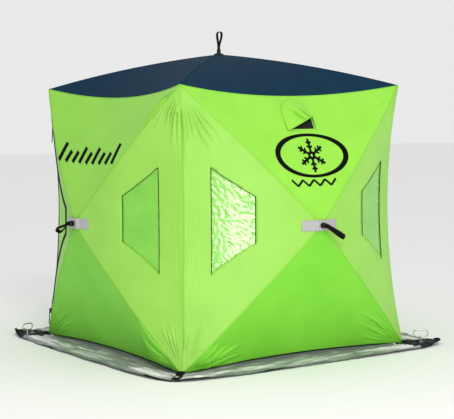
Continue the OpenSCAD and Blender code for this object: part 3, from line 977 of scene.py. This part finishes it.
@dataclass
class Fabric:
    """The four walls and the roof, with their seams."""

    plan: Plan = PLAN
    thick: float = 0.001
    seam_w: float = 0.007
    seam_t: float = 0.0007
    calmed: float = 0.3
    gores: dict[Wall, dict[str, Gore]] = field(default_factory=dict)

    def build(self) -> None:
        """Makes every panel and every seam."""
        plan = self.plan
        # The zip holds the door's gore flat, and the front's far end is pulled tightest
        tight = {
            Wall.LEFT: (("left", 0), ("left", 1), ("lower", 1), ("upper", 0)),
            Wall.FRONT: (("upper", 0), ("upper", 1), ("lower", 0), ("right", 0), ("right", 1)),
            Wall.RIGHT: (("left", 0), ("left", 1)),
            Wall.BACK: (("right", 0), ("right", 1)),
        }
        for wall in Wall:
            seed = 3.7 * wall.value + 1.3
            names = ("left", "right", "upper", "lower", "roof")
            gores = {name: plan.gore(name, seed + k) for k, name in enumerate(names)}
            for name, end in tight[wall]:
                gores[name].calm(end, self.calmed)
            holes = {"left": plan.window(-1), "right": plan.window(1)}
            if wall is Wall.LEFT:
                gores["left"].pucker, holes["left"] = 0.0, plan.door()
            if wall in (Wall.FRONT, Wall.BACK):
                holes["upper"] = plan.vent()
            self.gores[wall] = gores
            for gore in gores.values():
                self.panel(wall, gore, holes.get(gore.name))
            self.seams(wall)

    def lines(self) -> tuple[list[float], list[float]]:
        """The grid's places out from the hub and from seam to seam."""
        s = stations((self.plan.hub_share, 0), (0.14, 9), (0.64, 14), (1.0, 44))
        t = stations((0.0, 0), (0.18, 42), (0.82, 30), (1.0, 42))
        return s, t

    def panel(self, wall: Wall, gore: Gore, hole: Sequence[Spot] | None) -> None:
        """Makes one gore, cut open where it has a hole.

        Args:
            wall: the wall that it belongs to.
            gore: its shape.
            hole: the corners of its opening.
        """
        bm = bmesh.new()
        flat_grid(bm, *self.lines())
        if hole:
            drop_faces(bm, cut_lines(bm, hole))
        side, roof = wall.label, gore.name == "roof"
        lay(bm, gore.cloth, gore.out, flat=roof)
        node = f"roof_{side}_panel" if roof else f"{side}_{gore.name}_panel"
        # Side gores take the painted-sheen copy of the lime cloth and lower gores the painted-shade copy.
        made = Workshop.piece(
            f"cloth_{side}_{gore.name}",
            bm,
            {"roof": NAVY, "upper": LIME, "lower": LIME_LOW_PAINTED_SHADE}.get(gore.name, LIME_SIDE_PAINTED_SHEEN),
            Slot.ROOF if roof else Slot.WALL,
            wall.turn,
            [node],
            closed=False,
        )
        Workshop.thicken(made, self.thick)
        opening = self.opening(gore, hole) if hole else 0.0

    @staticmethod
    def opening(gore: Gore, hole: Sequence[Spot]) -> float:
        """The flat area of a hole in a gore.

        Args:
            gore: the gore.
            hole: the hole's corners.

        Returns:
            Square metres.
        """
        a, b, c, d = (gore.point(*p) for p in hole)
        return (c - a).cross(d - b).length / 2

    def seams(self, wall: Wall) -> None:
        """Lays the folded seams of one wall and its part of the roof.

        Args:
            wall: the wall.
        """
        gores = self.gores[wall]
        side = wall.label
        bm = bmesh.new()
        strip = flat_strip(self.seam_w, self.seam_t)
        out = Vector((0, -1, 0))
        for name, end in (("upper", 0), ("upper", 1), ("lower", 0), ("lower", 1)):
            path = [gores[name].seam(end, mix(0.05, 0.995, k / 40)) for k in range(41)]
            sweep(bm, path, out, strip)
        beads = round_bar(0.0045)
        upper, lower, right = gores["upper"], gores["lower"], gores["right"]
        for gore in (upper, right):
            sweep(bm, [gore.point(1, k / 60) for k in range(61)], Vector((0, -1, 0.3)), beads)
        Workshop.piece(f"seams_{side}", bm, PIPING, Slot.WALL, wall.turn)
        bm = bmesh.new()
        roof = gores["roof"]
        sweep(bm, [roof.seam(0, mix(0.04, 1, k / 40)) for k in range(41)], Vector((0, 0, 1)), strip)
        Workshop.piece(f"roof_seam_{side}", bm, NAVY, Slot.ROOF, wall.turn)
        bm = bmesh.new()
        hem = [lower.point(1, k / 60) + Vector((0, -0.001, 0.001)) for k in range(61)]
        sweep(bm, hem, out, flat_strip(0.010, 0.002))
        Workshop.piece(f"hem_{side}", bm, WEB, Slot.WEBBING, wall.turn)


@dataclass
class Openings:
    """The windows, the zipped door and the vents."""

    fabric: Fabric
    plan: Plan = PLAN
    lap: float = 0.010
    behind: float = -0.0018
    crinkle: float = 0.0012

    def build(self) -> None:
        """Makes the panes, the door flap and the hoods."""
        for wall in Wall:
            gores, only = self.fabric.gores[wall], wall is Wall.LEFT
            node = wall.label + ("_window" if only else "_windows")
            for k in (1,) if only else (-1, 1):
                self.window(wall, gores["left" if k < 0 else "right"], k, node)
        self.door()
        for wall in (Wall.FRONT, Wall.BACK):
            self.vent(wall)

    @staticmethod
    def pane(gore: Gore, hole: Sequence[Spot], crinkle: float, lap: float, lift: float) -> Mesh:
        """Makes a sheet that covers a hole.

        Args:
            gore: the gore with the hole.
            hole: the hole's corners.
            crinkle: how deep the sheet is crinkled.
            lap: how far it reaches past the hole.
            lift: how far it lies in front of the cloth.

        Returns:
            The sheet's mesh.
        """
        rim = grown(hole, gore, lap)
        low = [min(p[i] for p in rim) for i in (0, 1)]
        high = [max(p[i] for p in rim) for i in (0, 1)]
        steps = (40, 96)
        bm = bmesh.new()
        flat_grid(bm, *(stations((low[i], 0), (high[i], steps[i])) for i in (0, 1)))
        inside = cut_lines(bm, rim)
        drop_faces(bm, lambda at: not inside(at))
        middle = [(low[i] + high[i]) / 2 for i in (0, 1)]

        def place(s: float, t: float) -> Vector:
            """A place on the crinkled sheet."""
            at = gore.point(s, t)
            off = [abs(x - middle[i]) / (high[i] - middle[i]) for i, x in enumerate((s, t))]
            fold = noise.noise(Vector((at.x * 38 + at.z * 20, 0, at.z * 28)) + Vector((gore.seed, 5, 0)))
            fine = noise.noise(Vector((at.x * 60, 3, at.z * 70 + at.x * 40)))
            ridge = (1 - abs(fold) * 2.4) * 0.8 + 0.5 * fine
            inset = smooth(max(0.0, 1 - max(off)) / 0.15)
            return gore.cloth(s, t, lift + crinkle * (ridge - 1) * inset)

        lay(bm, place, gore.out)
        return bm

    @staticmethod
    def rim(gore: Gore, hole: Sequence[Spot], lift: float, sides: Sequence[int] = range(4)) -> list[Vector]:
        """A path on the cloth round a hole.

        Args:
            gore: the gore with the hole.
            hole: the corners.
            lift: how far the path stands off the cloth.
            sides: which of the hole's sides it follows.

        Returns:
            The path's points.
        """
        points, steps = [], 24
        for k in sides:
            (s0, t0), (s1, t1) = hole[k], hole[(k + 1) % 4]
            shares = [i / steps for i in range(steps)]
            points += [gore.cloth(mix(s0, s1, f), mix(t0, t1, f), lift) for f in shares]
        return points

    def window(self, wall: Wall, gore: Gore, k: int, node: str) -> None:
        """Makes a window of film with its binding.

        Args:
            wall: the wall.
            gore: the gore that it is in.
            k: the gore's side, -1 or 1.
            node: the CAD node that it stands for.
        """
        hole = self.plan.window(k)
        name = f"{wall.label}_{gore.name}"
        made = Workshop.piece(
            f"film_{name}",
            self.pane(gore, hole, self.crinkle, self.lap, self.behind),
            FILM,
            Slot.FILM,
            wall.turn,
            [node],
            closed=False,
        )
        Workshop.thicken(made, 0.0006)
        # The film reaches under its seams: 30 mm more across, 20 mm more on each parallel side
        for part, sides, finish, wide in (
            ("upright", (1, 3), BINDING, 0.0055),
            ("upper", (2,), BINDING, 0.0036),
            ("lower", (0,), PIPING, 0.0055),
        ):
            bm = bmesh.new()
            for side in sides:
                end = gore.cloth(*hole[(side + 1) % 4], 0.0002)
                path = [*self.rim(gore, hole, 0.0002, (side,)), end]
                sweep(bm, path, gore.out, flat_strip(wide, 0.0016))
            Workshop.piece(f"binding_{part}_{name}", bm, finish, Slot.WALL, wall.turn)

    def door(self) -> None:
        """Makes the door flap, its zip, the sliders and the pulls."""
        wall, gore, hole = Wall.LEFT, self.fabric.gores[Wall.LEFT]["left"], self.plan.door()
        made = Workshop.piece(
            "door_cloth",
            self.pane(gore, hole, 0.001, self.lap, self.behind),
            LIME,
            Slot.WALL,
            wall.turn,
            ["door_flap"],
            closed=False,
        )
        Workshop.thicken(made, 0.001)
        a, b, c, d = (gore.point(*p) for p in grown(hole, gore, self.lap))
        bm = bmesh.new()
        path = self.rim(gore, hole, 0.0003)
        sweep(bm, path, gore.out, flat_strip(0.026, 0.0012), closed=True)
        sweep(bm, path, gore.out, flat_strip(0.008, 0.0045), closed=True)
        Workshop.piece("door_zip", bm, ZIP, Slot.WEBBING, wall.turn)
        bm = bmesh.new()
        for spot in (hole[1], (hole[2][0], hole[2][1] - 0.06)):
            at = gore.cloth(*spot, 0.006)
            size = Matrix.LocRotScale(at, None, Vector((0.014, 0.010, 0.028)))
            bmesh.ops.create_cube(bm, size=1.0, matrix=size)
            tag = [at + Vector((0, -0.004 - 0.001 * k, -0.010 - 0.014 * k)) for k in range(6)]
            sweep(bm, tag, Vector((0, -1, 0)), flat_strip(0.011, 0.0022))
        slider = Workshop.piece("door_zip_sliders", bm, HUB, Slot.HUB, wall.turn)
        Workshop.soften(slider, 0.0018)

    def hood_point(self, a: float, b: float) -> Vector:
        """A place on the hood, a from its sewn edge to its rim and b across."""
        plan = self.plan
        turn = pi * mix(0.06, 0.94, b)
        x = -plan.vent_w / 2 * cos(turn)
        # The rim climbs from its left end and drops steeply near its right end
        climb = 0.070 * (smooth(b / 0.84) if b < 0.84 else smooth((1 - b) / 0.16))
        z = mix(plan.vent_foot + plan.vent_h * sin(turn) ** 0.45, plan.vent_foot + climb * a, a)
        out = plan.vent_out * sin(turn) * sin(pi / 2 * a) * (0.50 + 0.5 * smooth(b * 1.2))
        dent = exp(-(((b - 0.28 - 0.30 * a) / 0.035) ** 2))
        dent += 0.9 * exp(-(((b - 0.54 - 0.22 * a) / 0.03) ** 2))
        out *= 1 - 0.8 * min(dent, 1.0) * sin(pi * a) ** 0.5
        upper = self.fabric.gores[Wall.FRONT]["upper"]
        return on_eave(upper, x, z) + Vector((0, -max(out, 0.0035), 0))

    def net_point(self, gore: Gore, a: float, b: float) -> Vector:
        """A place on the net, a from its top to its foot and b across."""
        plan = self.plan
        turn = pi * mix(0.06, 0.94, b)
        x = -plan.vent_w / 2 * cos(turn) * 0.93
        z = plan.vent_foot + mix(plan.vent_h * 0.92 * sin(turn) ** 0.45, 0.004, a)
        return on_eave(gore, x, z, 0.0010)

    def vent(self, wall: Wall) -> None:
        """Makes a vent's hood and the black net behind it, which reaches past the hole over the cloth under
        the hood as painted shade.

        Args:
            wall: the wall.
        """
        side = wall.label
        gore = self.fabric.gores[wall]["upper"]
        bm = bmesh.new()
        flat_grid(bm, stations((0, 0), (1, 26)), stations((0, 0), (1, 96)))
        lay(bm, self.hood_point, gore.out)
        made = Workshop.piece(
            f"vent_hood_{side}", bm, LIME, Slot.WALL, wall.turn, ["vent_hoods"], closed=False
        )
        Workshop.thicken(made, 0.0012)
        bm = bmesh.new()
        rim = [self.hood_point(1, k / 44) for k in range(45)]
        sweep(bm, rim, gore.out, round_bar(0.005))
        Workshop.piece(f"vent_rim_{side}", bm, PIPING, Slot.WALL, wall.turn)
        # Painted shade: the black net spreads past the vent hole and darkens the cloth under the hood,
        # where the hood's shadow falls.
        bm = bmesh.new()
        flat_grid(bm, stations((0, 0), (1, 12)), stations((0, 0), (1, 30)))
        lay(bm, lambda a, b: self.net_point(gore, a, b), gore.out)
        net = Workshop.piece(f"vent_net_{side}", bm, NET_AND_HOOD_SHADE, None, wall.turn, closed=False)
        Workshop.thicken(net, 0.0006)


@dataclass
class Skirt:
    """The snow skirt that lies on the ground round the walls."""

    plan: Plan = PLAN
    thick: float = 0.0018
    out: float = 0.957
    reach: float = 0.875
    ear: float = 0.025
    slope: float = 0.030
    crumple: float = 0.009
    knee: float = 0.16

    def spot(self, wall: Wall, v: float, w: float) -> Vector:
        """A place on the skirt.

        Args:
            wall: the wall.
            v: from -1 to 1 along it.
            w: from 0 at the hem to 1 at the outer edge.

        Returns:
            The place in the front wall's frame.
        """
        plan = self.plan
        sag = 1 - v * v
        hem, z = plan.base_w / 2 - plan.hem_in * sag, plan.hem_z + plan.hem_rise * sag
        eared = v * wall.ear > 0
        reach = self.reach + (self.ear if eared else 0)
        edge = self.out - (self.out - reach) * abs(v) ** 6
        knee = self.knee
        a = Vector((plan.base_w / 2 * v, -hem, z))
        b = Vector(((plan.base_w / 2 + self.slope) * v, -(hem + self.slope), self.thick))
        c = Vector((reach * v, -edge, self.thick))
        flat = a.lerp(b, w / knee) if w < knee else b.lerp(c, (w - knee) / (1 - knee))
        free = smooth(w / 0.12) * smooth((1 - abs(v)) / 0.06)
        seed = wall.value * 7.1
        long = noise.noise(Vector((v * 3.1, w * 5.5 + v, seed)))
        small = noise.noise(Vector((v * 11, w * 9 - v * 5, seed + 3)))
        fine = noise.noise(Vector((v * 26, w * 7 + v * 9, seed + 5)))
        folds = max(0.0, 1 - 2.6 * abs(long)) + 0.45 * max(0.0, small + 0.2) + 0.3 * max(0.0, fine)
        high = self.crumple * folds * free
        tip = (0.022 if eared else 0.0) * smooth((abs(v) - 0.86) / 0.14) * w * w * (1.0 + small)
        wave = 0.007 * noise.noise(Vector((v * 7.0, seed, 1.0)))
        wave += 0.005 * noise.noise(Vector((v * 24.0, seed, 4.0)))
        wave *= w * smooth((1 - abs(v)) / 0.1)
        return flat + Vector((0, -wave, high + tip))

    def build(self) -> None:
        """Makes the four skirts and the webbing along the ears."""
        for wall in Wall:
            side, ear = wall.label, wall.ear
            bm = bmesh.new()
            along = stations((-1, 0), (-0.8, 24), (0.8, 110), (1, 24))
            flat_grid(bm, along, stations((0, 0), (self.knee, 6), (1, 26)))
            # The map runs on past the outer edge at the ear, which is dull and dark all over
            write_uv(bm, lambda p: (p.x * 0.85, p.y * 0.207 + 0.30 * smooth((p.x * ear - 0.85) / 0.05)))
            for v in bm.verts:
                v.co = self.spot(wall, v.co.x, v.co.y)
            face_out(bm, Vector((0, 0, 1)))
            made = Workshop.piece(
                f"skirt_cloth_{side}", bm, TARP, Slot.SKIRT, wall.turn, [f"{side}_skirt"], closed=False
            )
            Workshop.thicken(made, self.thick)
            bm = bmesh.new()
            for sign in (-1, 1):
                path = [self.spot(wall, sign * mix(0.80, 0.995, k / 20), 0.985) for k in range(21)]
                sweep(bm, path, Vector((0, 0, 1)), flat_strip(0.020, 0.0022))
            Workshop.piece(f"skirt_binding_{side}", bm, WEB, Slot.WEBBING, wall.turn)


@dataclass
class Webbing:
    """The pull loops, the corner straps and their eyelets."""

    plan: Plan = PLAN
    width: float = 0.025
    thick: float = 0.0025
    stem: float = 0.030
    wall_loop: float = 0.160
    roof_loop: float = 0.125
    loop_w: float = 0.034
    cap_top: float = 0.0058
    tilt: float = 26.0
    twist: float = 34.0

    def teardrop(self, length: float, lean: float, droop: float) -> list[Vector]:
        """The path of a loop whose two ends stand side by side on its stem.

        Args:
            length: from the cap to the loop's end.
            lean: how far it leans over, in degrees, towards +x.
            droop: how far its end hangs lower.

        Returns:
            The path, standing up from the origin.
        """
        r, far = self.loop_w / 2 - self.thick / 2, length - self.stem
        gap = self.thick * 0.55
        flat = [(-gap, self.stem * k / 5) for k in range(5)]
        flat += [(mix(-gap, -r, smooth(k / 12)), self.stem + (far - r) * k / 12) for k in range(12)]
        flat += [(-r * cos(pi * k / 14), self.stem + far - r + r * sin(pi * k / 14)) for k in range(15)]
        flat += [(-x, z) for x, z in reversed(flat[:17])]
        turn = radians(lean)
        path = []
        for x, z in flat:
            over = max(0.0, z - self.stem)
            swing = turn * smooth(over / 0.03)
            low = droop * (over / far) ** 2
            bent = self.stem + over * cos(swing) + x * -sin(swing)
            height = z if z <= self.stem else bent
            path.append(Vector((x * cos(swing) + over * sin(swing), -low, height)))
        return path

    def loops(self) -> None:
        """Makes the five pull loops with their sleeves."""
        bm = bmesh.new()
        sleeves = bmesh.new()
        for wall in (*Wall, None):
            lean, length, droop = 84.0, self.wall_loop, 0.012
            place = self.plan.hub_place(wall) @ Matrix.Translation((0, 0, self.cap_top))
            if wall is None:
                lean, length, droop = 4.0, self.roof_loop, 0.0
            else:
                swing = 180 + self.tilt if wall is Wall.LEFT else -self.tilt
                place = place @ Matrix.Rotation(radians(swing), 4, "Z")
            path = self.teardrop(length, lean, droop)
            # The left wall's loop has twisted on its stem, so that it hangs open
            twist = self.twist if wall is Wall.LEFT else 0.0
            axis = Vector((sin(radians(lean)), 0, cos(radians(lean))))
            root = Vector((0, 0, self.stem))
            shares = [smooth(((p - root).dot(axis) - 0.004) / 0.03) for p in path]
            turns = [Matrix.Rotation(radians(twist) * share, 3, axis) for share in shares]
            path = [place @ (root + turn @ (p - root)) for p, turn in zip(path, turns)]
            acrosses = [place.to_3x3() @ turn @ Vector((0, 1, 0)) for turn in turns]
            tangents = [path[min(i + 1, len(path) - 1)] - path[max(i - 1, 0)] for i in range(len(path))]
            ups = [across.cross(t).normalized() for across, t in zip(acrosses, tangents)]
            half = self.thick / 2
            section = [(x, y - half) for x, y in flat_strip(self.width * 0.9, self.thick)]
            sweep(bm, path, ups, section)
            wrap = [place @ Vector((0, 0, self.stem * f)) for f in (0.25, 0.5, 0.78)]
            out = (place.to_3x3() @ Vector((1, 0, 0))).normalized()
            half_box = [(1, -1), (1, 1), (0.4, 1.3), (-0.4, 1.3)]
            box = half_box + [(-x, -y) for x, y in half_box]
            wide, deep = (self.width + 0.003) / 2, 0.0045
            sweep(sleeves, wrap, out, [(x * wide, y * deep) for x, y in box])
        Workshop.piece("webbing_loops", bm, WEB, Slot.WEBBING, replaces=["pull_loops"])
        Workshop.piece("webbing_sleeves", sleeves, HUB, Slot.HUB)

    def straps(self, skirt: Skirt) -> None:
        """Lays the corner straps over the skirt, each with its eyelet.

        Args:
            skirt: the skirt that they lie on; not used.
        """
        straps, rings = bmesh.new(), bmesh.new()
        for wall in Wall:
            away = Vector((1, -1, 0)).normalized()
            start = Vector((self.plan.base_w / 2, -self.plan.base_w / 2, 0))
            path, ups = [], []
            for k in range(25):
                far = mix(-0.004, 0.150, k / 24)
                z = mix(0.016, 0.0045, smooth(far / 0.05)) + 0.004 * smooth((far - 0.08) / 0.07)
                path.append(wall.turn @ (start + away * far + Vector((0, 0, z))))
                ups.append(Vector((0, 0, 1)))
            sweep(straps, path, ups, flat_strip(0.044, self.thick))
            at = wall.turn @ (start + away * 0.105 + Vector((0, 0, 0.0115)))
            ring = [at + Vector((x, y, 0)) for x, y in round_bar(0.022, 24)]
            sweep(rings, ring, Vector((0, 0, 1)), round_bar(0.004), closed=True)
        Workshop.piece("webbing_corner_straps", straps, WEB, Slot.WEBBING, replaces=["corner_straps"])
        Workshop.piece("strap_eyelets", rings, STEEL, Slot.STEEL)


@dataclass
class Markings:
    """The reflective tape beside the hubs and the printed decoration."""

    fabric: Fabric
    plan: Plan = PLAN
    tape_w: float = 0.230
    tape_h: float = 0.057
    ink: float = 0.0003
    on_top: float = 0.0006

    def tape(self) -> None:
        """Sticks a strip of tape across every wall hub and its cap."""
        bm = bmesh.new()
        cap = -(self.plan.hub_w + 0.0072)
        for wall in Wall:
            gores = self.fabric.gores[wall]
            half = self.tape_w / 2
            places = stations((-half, 0), (-0.046, 8), (-0.029, 8), (0.029, 10), (0.046, 8), (half, 8))
            for v in flat_grid(bm, places, stations((-0.5, 0), (0.5, 10))):
                x, z = v.co.x, self.plan.hub_z + self.tape_h * v.co.y
                side = -1 if x < 0 else 1
                s = self.plan.s_at(max(abs(x), 0.030))
                at = gores["left" if side < 0 else "right"].cloth(s, self.plan.t_at(s, z, side), 0.0022)
                y = mix(cap, at.y, smooth((abs(x) - 0.030) / 0.016))
                v.co = wall.turn @ Vector((x, y, z))
        write_uv(bm, lambda p: (p.x + p.y, p.z))
        bm.normal_update()
        for island in self.islands(bm):
            middle = sum((f.calc_center_median() for f in island), Vector()) / len(island)
            if island[0].normal.dot(Vector((middle.x, middle.y, 0))) < 0:
                bmesh.ops.reverse_faces(bm, faces=island)
        made = Workshop.piece(
            "reflective_tape", bm, TAPE, Slot.TAPE, replaces=["reflective_patches"], closed=False
        )
        Workshop.thicken(made, 0.0014)

    @staticmethod
    def islands(bm: Mesh) -> list[list]:
        """The mesh's separate parts, each as a list of faces."""
        left, parts = set(bm.faces), []
        while left:
            part, queue = [], [left.pop()]
            while queue:
                face = queue.pop()
                part.append(face)
                for near in {f for e in face.edges for f in e.link_faces} & left:
                    left.discard(near)
                    queue.append(near)
            parts.append(part)
        return parts

    def stroke(self, bm: Mesh, wall: Wall, a: Spot, b: Spot, width: float) -> None:
        """Prints a bar on a wall's upper gore.

        Args:
            bm: the mesh that it goes into.
            wall: the wall.
            a: one end, as x and height.
            b: the other end.
            width: the bar's width.
        """
        start, end = Vector(a), Vector(b)
        along = (end - start).normalized()
        side = Vector((-along.y, along.x))
        steps = max(2, round((end - start).length / 0.012))
        gore = self.fabric.gores[wall]["upper"]
        made = flat_grid(bm, stations((0, 0), (1, steps)), stations((-0.5, 0), (0.5, 2)))
        for v in made:
            at = start.lerp(end, v.co.x) + side * (width * v.co.y)
            v.co = on_eave(gore, at.x, at.y, self.on_top)
        island = list({f for v in made for f in v.link_faces})
        bm.normal_update()
        if island[0].normal.y > 0:
            bmesh.ops.reverse_faces(bm, faces=island)

    def ring(self, bm: Mesh, centre: Spot, wide: float, tall: float) -> None:
        """Prints an oval ring on the front wall, heavier at its sides.

        Args:
            bm: the mesh that it goes into.
            centre: its middle, as x and height.
            wide: half its width.
            tall: half its height.
        """
        gore = self.fabric.gores[Wall.FRONT]["upper"]
        made = flat_grid(bm, stations((0, 0), (2 * pi, 96)), stations((-0.5, 0), (0.5, 4)))
        for v in made:
            turn, across = v.co.x, v.co.y * (0.015 + 0.019 * cos(v.co.x) ** 2)
            x, z = (wide + across) * cos(turn), (tall + across) * sin(turn)
            v.co = on_eave(gore, centre[0] + x, centre[1] + z, self.on_top)
        face_out(bm, gore.out)

    def snowflake(self, centre: Spot, reach: float) -> None:
        """Prints a plain six-armed snowflake in an oval, over a row of peaks.

        Args:
            centre: its middle on the front wall, as x and height.
            reach: the length of an arm.
        """
        bm = bmesh.new()
        x0, z0 = centre
        self.ring(bm, centre, 0.222, 0.108)

        def at(angle: float, r: float) -> Spot:
            """A place round the middle."""
            return (x0 + r * cos(angle), z0 + r * sin(angle))

        for k in range(6):
            arm = radians(90 + 60 * k)
            self.stroke(bm, Wall.FRONT, at(arm, reach * 0.08), at(arm, reach), 0.014)
            for share, twig in ((0.42, 0.26), (0.68, 0.24)):
                root = at(arm, reach * share)
                for way in (-1, 1):
                    turn = arm + way * radians(52)
                    tip = (root[0] + reach * twig * cos(turn), root[1] + reach * twig * sin(turn))
                    self.stroke(bm, Wall.FRONT, root, tip, 0.010)
            self.stroke(bm, Wall.FRONT, at(arm, reach * 0.24), at(arm + radians(60), reach * 0.24), 0.010)
        low = z0 - 0.158
        peaks = [(x0 - 0.168 + 0.036 * k, low + (0.0 if k % 2 else 0.032)) for k in range(9)]
        for a, b in zip(peaks, peaks[1:]):
            self.stroke(bm, Wall.FRONT, a, b, 0.012)
        made = Workshop.piece("print_snowflake", bm, INK, None, closed=False)
        Workshop.thicken(made, self.ink)

    def dashes(self, centre: Spot) -> None:
        """Prints a row of slanted dashes on the left wall.

        Args:
            centre: its middle, as x and height.
        """
        bm = bmesh.new()
        x0, z0 = centre
        tall = (0.100, 0.060, 0.060, 0.085, 0.060, 0.085, 0.060, 0.060, 0.105)
        for k, high in enumerate(tall):
            x = x0 + 0.074 * (k - 4)
            low = z0 - 0.045
            self.stroke(bm, Wall.LEFT, (x - 0.010, low), (x + 0.018, low + high), 0.034)
        made = Workshop.piece("print_dashes", bm, INK, None, Wall.LEFT.turn, closed=False)
        Workshop.thicken(made, self.ink)

    def build(self) -> None:
        """Adds the tape and both prints."""
        self.tape()
        self.snowflake((0.020, 1.098), 0.088)
        self.dashes((-0.02, 1.10))


@dataclass
class Hardware:
    """The CAD's rods, hubs, joints and anchors, with their finishes."""

    plan: Plan = PLAN

    def build(self) -> None:
        """Gives every kept node its finish and adds the hub nuts."""
        finishes = {"hub": HUB, "rods": ROD, "joints": HUB, "anchors": STEEL}
        for name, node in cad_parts.items():
            for ending, finish in finishes.items():
                if name.endswith(ending):
                    node.data.materials.clear()
                    node.data.materials.append(finish.material())
                    LOG.info("%s: %s", name, finish.name)
        bm = bmesh.new()
        for wall in (*Wall, None):
            self.nut(bm, self.plan.hub_place(wall))
        made = Workshop.piece("hub_nuts", bm, HUB, Slot.HUB, flat=True)
        Workshop.soften(made, 0.0015)

    def nut(self, bm: Mesh, place: Matrix) -> None:
        """Adds a washer and a six-sided nut on a hub's cap."""
        for wide, low, high, sides in ((0.030, 0.0070, 0.0095, 32), (0.023, 0.0095, 0.017, 6)):
            rise = Matrix.Translation((0, 0, (low + high) / 2))
            bmesh.ops.create_cone(
                bm,
                cap_ends=True,
                segments=sides,
                radius1=wide / 2,
                radius2=wide / 2 * 0.94,
                depth=high - low,
                matrix=place @ rise,
            )


@dataclass
class Studio:
    """The camera, the floor and the soft light."""

    place: tuple[float, float, float] = (-4.26767, -6.35251, 1.35486)
    yaw: float = 34.195
    pitch: float = -4.4163
    roll: float = -0.4785
    lens: float = 104.12
    aim_h: float = 0.7

    def camera(self) -> None:
        """Stands the camera where the whole hut fills its frame."""
        yaw, pitch, roll = (radians(a) for a in (self.yaw, self.pitch, self.roll))
        ahead = Vector((sin(yaw) * cos(pitch), cos(yaw) * cos(pitch), sin(pitch)))
        right = Vector((cos(yaw), -sin(yaw), 0))
        up = right.cross(ahead)
        r = right * cos(roll) + up * sin(roll)
        u = up * cos(roll) - right * sin(roll)
        data = bpy.data.cameras.new("camera")
        data.sensor_fit, data.sensor_width, data.lens = "HORIZONTAL", 36.0, self.lens
        made = bpy.data.objects.new("camera", data)
        turn = Matrix((r, u, -ahead)).transposed().to_4x4()
        made.matrix_world = Matrix.Translation(self.place) @ turn
        bpy.context.scene.collection.objects.link(made)
        bpy.context.scene.camera = made

    def lamp(self, name: str, place: Vector, power: float, size: float, tint: str) -> None:
        """Hangs a square soft lamp that faces the hut.

        Args:
            name: the lamp's name.
            place: where it hangs.
            power: its power in watts.
            size: its width in metres.
            tint: its colour.
        """
        data = bpy.data.lights.new(name, "AREA")
        data.energy, data.size, data.color = power, size, linear(tint)[:3]
        made = bpy.data.objects.new(name, data)
        turn = (place - Vector((0, 0, self.aim_h))).to_track_quat("Z", "Y").to_matrix().to_4x4()
        made.matrix_world = Matrix.Translation(place) @ turn
        bpy.context.scene.collection.objects.link(made)

    def build(self) -> None:
        """Lights the hut and lays the pale floor."""
        scene = bpy.context.scene
        scene.view_settings.view_transform = "Standard"
        world = bpy.data.worlds.new("studio")
        world.use_nodes = True
        sky = world.node_tree.nodes["Background"]
        sky.inputs["Color"].default_value = linear("FFFFFF")
        sky.inputs["Strength"].default_value = 0.82
        scene.world = world

        def off(turn: float, rise: float, far: float) -> Vector:
            """A place round the hut, turned from the front towards the left."""
            a, e = radians(turn), radians(rise)
            return Vector((-sin(a) * cos(e), -cos(a) * cos(e), sin(e))) * far

        self.lamp("key", off(25, 34, 9.0), 220, 1.4, "FFFBF2")
        self.lamp("front", off(12.5, 4.3, 8.3), 190, 2.2, "FFFDF4")
        bm = bmesh.new()
        bmesh.ops.create_grid(bm, x_segments=4, y_segments=4, size=30)
        mesh = bpy.data.meshes.new("floor")
        bm.to_mesh(mesh)
        bm.free()
        floor = bpy.data.objects.new("floor", mesh)
        scene.collection.objects.link(floor)
        paint = Finish("Studio_Floor", "F4F4F4", 0.8, 0.2)
        mesh.materials.append(paint.material())


def main() -> None:
    """Builds the whole shelter in order."""
    logging.basicConfig(level=logging.INFO, format="%(message)s")
    studio = Studio()
    studio.camera()
    studio.build()
    fabric = Fabric()
    fabric.build()
    Openings(fabric).build()
    skirt = Skirt()
    skirt.build()
    webbing = Webbing()
    webbing.loops()
    webbing.straps(skirt)
    Markings(fabric).build()
    Hardware().build()
    bpy.context.view_layer.update()


if __name__ == "__main__":
    main()
